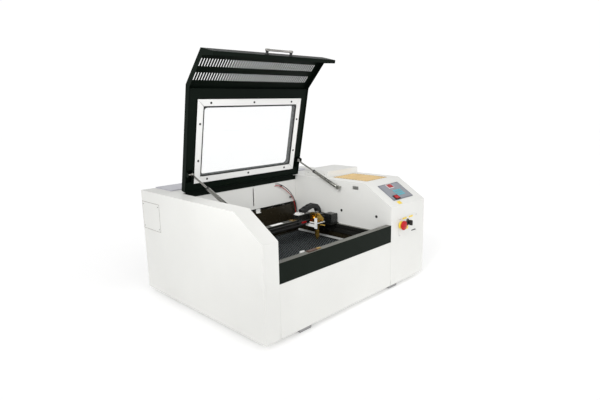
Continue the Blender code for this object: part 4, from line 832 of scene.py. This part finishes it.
def control_panel_face():
    """Display in its frame, cyan keys, the membrane's edge line and a plain yellow tag."""
    above, bezel, display = 0.0025, 0.0012, (0.828, 0.700)
    bm = bmesh.new()
    rounded_tile(bm, (-0.0200, 0.0200), (-0.0130, 0.0130), (0, bezel), 0.002)
    on_slope(bm, *display, above)
    piece("display_bezel", bm, "frame_white", "cabinet", bevel=0.0003)
    bm = bmesh.new()
    rounded_tile(bm, (-0.0180, 0.0180), (-0.0110, 0.0110), (0, 0.0006), 0.0015)
    on_slope(bm, *display, above + bezel)
    piece("display_window", bm, "lamp", "cabinet", bevel=0.0002)
    bm = bmesh.new()
    for column in range(4):
        for row in range(3):
            x, y = -0.0225 + 0.015 * column, -0.0125 + 0.0125 * row
            key = (x - 0.0062, x + 0.0062), (y - 0.0048, y + 0.0048)
            rounded_tile(bm, *key, (0, 0.0008), 0.0018)
    on_slope(bm, 0.843, 0.425, above)
    piece("membrane_keys", bm, "cyan", "cabinet", bevel=0.0003)
    bm = bmesh.new()
    outer = [(-0.0735, -0.0485), (0.0735, -0.0485), (0.0735, 0.0485), (-0.0735, 0.0485)]
    inner = [(-0.0725, -0.0475), (0.0725, -0.0475), (0.0725, 0.0475), (-0.0725, 0.0475)]
    ring_of(bm, outer, inner, 0, 0.00025)
    on_slope(bm, 0.832, 0.495, above - 0.0001)
    piece("panel_edge_line", bm, "gasket", "cabinet")
    bm = bmesh.new()
    rounded_tile(bm, (-0.0125, 0.0125), (-0.0085, 0.0085), (0.0, 0.0006), 0.001)
    on_slope(bm, 0.780, 0.095, 0.0002)
    piece("yellow_tag", bm, "yellow", "cabinet", bevel=0.0002)


def card_border():
    """Plain card with a dashed dark border and no print."""
    refined("placard", "card", 0.0002)
    low, high = local("placard")
    inset, dash, gap, wide = 0.0006, 0.0100, 0.0075, 0.0045
    flat = (high.z - 0.0002, high.z + 0.00012)
    bm = bmesh.new()

    def dashes(start, end, across, along_x):
        count = int((end - start + gap) / (dash + gap))
        spare = (end - start) - count * dash - (count - 1) * gap
        for index in range(count):
            first = start + spare / 2 + index * (dash + gap)
            run, side = (first, first + dash), (across, across + wide)
            add_box(bm, run if along_x else side, side if along_x else run, flat)

    for y in (low.y + inset, high.y - inset - wide):
        dashes(low.x + inset, high.x - inset, y, True)
    for x in (low.x + inset, high.x - inset - wide):
        dashes(low.y + inset, high.y - inset, x, False)
    piece("card_dashes", bm, "card_line", "cabinet")


def safety_plate_face():
    """Plain yellow fields, the key switch's bright ring, screws and a small dark cover."""
    face, key = -0.0016, (0.821, 0, 0.259)
    bm = bmesh.new()
    for x0, x1, z0, z1 in ((0.783, 0.816, 0.2765, 0.2838), (0.831, 0.864, 0.2765, 0.2838),
                           (0.806, 0.829, 0.2290, 0.2440)):
        add_box(bm, (x0, x1), (face - 0.0003, face + 0.0002), (z0, z1))
    piece("plate_fields", bm, "yellow", "cabinet", bevel=0.0001)
    bm = bmesh.new()
    add_turned(bm, [(0.0141, 0.0018), (0.0160, 0.0018), (0.0160, 0.0034), (0.0150, 0.0046),
                    (0.0141, 0.0046)], key, (0, -1, 0), 36)
    piece("key_ring", bm, "chrome", "cabinet", bevel=0.0001)
    places = [(x, face, z) for x in (0.763, 0.892) for z in (0.211, 0.281)]
    screws("plate_screws", places, (0, -1, 0), "cabinet", SMALL_SCREW)
    bm = bmesh.new()
    add_box(bm, (0.856, 0.888), (face - 0.0010, face + 0.0002), (0.2120, 0.2165))
    piece("plate_slot_cover", bm, "plastic", "cabinet", bevel=0.0004)


# Back and inside


def rear_fittings():
    """Water barbs, earth stud and the tube cover's hinges on the rear panel."""
    fittings_z, hinge_half = 0.090, 0.022
    bm = bmesh.new()
    for x in (0.600, 0.640):
        add_turned(bm, [(0, -0.004), (0.0048, -0.004), (0.0048, 0.0), (0.0080, 0.0),
                        (0.0080, 0.0045), (0.0046, 0.0050), (0.0046, 0.0110), (0.0056, 0.0120),
                        (0.0044, 0.0150), (0.0056, 0.0162), (0.0042, 0.0215), (0.0026, 0.0215),
                        (0.0026, 0.0010), (0, 0.0010)], (x, 0.7862, fittings_z), (0, 1, 0), 24)
    piece("water_barbs", bm, "brass", "cabinet", smooth=30)
    bm = bmesh.new()
    add_turned(bm, [(0, 0), (0.0055, 0), (0.0055, 0.0035), (0.0030, 0.0037), (0.0030, 0.0090),
                    (0.0024, 0.0098), (0, 0.0098)], (0.720, 0.7861, fittings_z), (0, 1, 0), 6)
    piece("earth_stud", bm, "brass", "cabinet", bevel=0.0003)
    bm = bmesh.new()
    for x in (0.160, 0.473, 0.786):
        left, right = x - hinge_half, x + hinge_half
        add_box(bm, (left, right), (0.7857, 0.7868), (0.398, 0.424))
        add_rod(bm, (left, 0.7866, 0.4262), (right, 0.7866, 0.4262), 0.0022, 14)
    piece("cover_hinges", bm, "white", "cabinet", bevel=0.0003)


def tube_inside():
    """Electrodes and the inner bore of the laser tube, seen with the rear cover up."""
    bm = bmesh.new()
    add_rod(bm, (0.176, TUBE_Y, TUBE_Z), (0.834, TUBE_Y, TUBE_Z), 0.0060, 20)
    piece("tube_bore", bm, "lamp", "cabinet")
    bm = bmesh.new()
    for start in (0.1715, 0.8125):
        add_rod(bm, (start, TUBE_Y, TUBE_Z), (start + 0.026, TUBE_Y, TUBE_Z), 0.0160, 24)
    piece("tube_electrodes", bm, "chrome", "cabinet", bevel=0.0008)


def strut_fittings():
    """Dark end seal where each rod leaves its cylinder."""
    run, rise, cylinder = 0.252, 0.106, 0.158
    along = Vector((0, run, rise)).normalized()
    for side, x in (("left", 0.090), ("right", 0.678)):
        start = Vector((x, 0.272, 0.402))
        bm = bmesh.new()
        add_turned(bm, [(0.0044, -0.0050), (0.0079, -0.0050), (0.0079, 0.0010), (0.0062, 0.0032),
                        (0.0044, 0.0032)], start + along * cylinder, along, 28)
        piece(f"strut_seal_{side}", bm, "plastic", f"strut_body_{side}")


# Stage


def stage():
    """Plain pale floor out to the horizon, soft lights on all sides and a pale surround."""
    bm = bmesh.new()
    bmesh.ops.create_circle(bm, cap_ends=True, segments=96, radius=FLOOR_RADIUS)
    mesh = bpy.data.meshes.new("studio_floor")
    bm.to_mesh(mesh)
    bm.free()
    floor = bpy.data.objects.new("studio_floor", mesh)
    bpy.context.scene.collection.objects.link(floor)
    finish = Finish("studio_white", (0.985, 0.985, 0.985), 0.9).tint(0.6, 0.01).gloss(4, 0.02)
    finish.set(Emission_Color=(1.0, 1.0, 1.0, 1.0), Emission_Strength=FLOOR_GLOW)
    floor.data.materials.append(finish.material)

    for name, toward, strength, softness in SUNS:
        light = bpy.data.lights.new(name, "SUN")
        light.energy = strength
        light.angle = math.radians(softness)
        obj = bpy.data.objects.new(name, light)
        bpy.context.scene.collection.objects.link(obj)
        obj.rotation_euler = Vector(toward).to_track_quat("Z", "Y").to_euler()

    snoot = bpy.data.lights.new("chamber_light", "SPOT")
    snoot.energy = CHAMBER_LIGHT
    snoot.spot_size = math.radians(38)
    snoot.spot_blend = 0.7
    snoot.shadow_soft_size = 0.28
    holder = bpy.data.objects.new("chamber_light", snoot)
    bpy.context.scene.collection.objects.link(holder)
    holder.location = CHAMBER_LIGHT_PLACE
    aim = Vector(CHAMBER_LIGHT_AIM) - holder.location
    holder.rotation_euler = aim.to_track_quat("-Z", "Y").to_euler()
    world = bpy.data.worlds.new("studio")
    world.use_nodes = True
    nodes, links = world.node_tree.nodes, world.node_tree.links
    surround = nodes["Background"]
    surround.inputs["Color"].default_value = (1.0, 1.0, 1.0, 1.0)
    seen = nodes.new("ShaderNodeLightPath")
    level = nodes.new("ShaderNodeMapRange")
    level.inputs["To Min"].default_value = SURROUND_LIGHT
    level.inputs["To Max"].default_value = SURROUND_SEEN
    links.new(seen.outputs["Is Camera Ray"], level.inputs["Value"])
    links.new(level.outputs["Result"], surround.inputs["Strength"])
    bpy.context.scene.world = world
    bpy.context.scene.view_settings.view_transform = "Standard"


def camera():
    """The viewing angle: from the front left, a little above the lid's middle."""
    lens = bpy.data.cameras.new("camera")
    lens.sensor_width = 36.0
    lens.lens = CAMERA_LENS
    lens.clip_end = 60
    obj = bpy.data.objects.new("camera", lens)
    bpy.context.scene.collection.objects.link(obj)
    turn = Euler([math.radians(angle) for angle in CAMERA_TURN]).to_matrix().to_4x4()
    obj.matrix_world = Matrix.Translation(CORNER + Vector(CAMERA_PLACE)) @ turn
    bpy.context.scene.camera = obj


refine_all()
cabinet_screws()
window_strips()
lid_fittings()
handle()
honeycomb()
chain_links()
gantry_fittings()
head_fittings()
chamber_fittings()
control_panel_face()
card_border()
safety_plate_face()
rear_fittings()
tube_inside()
strut_fittings()
stage()
camera()
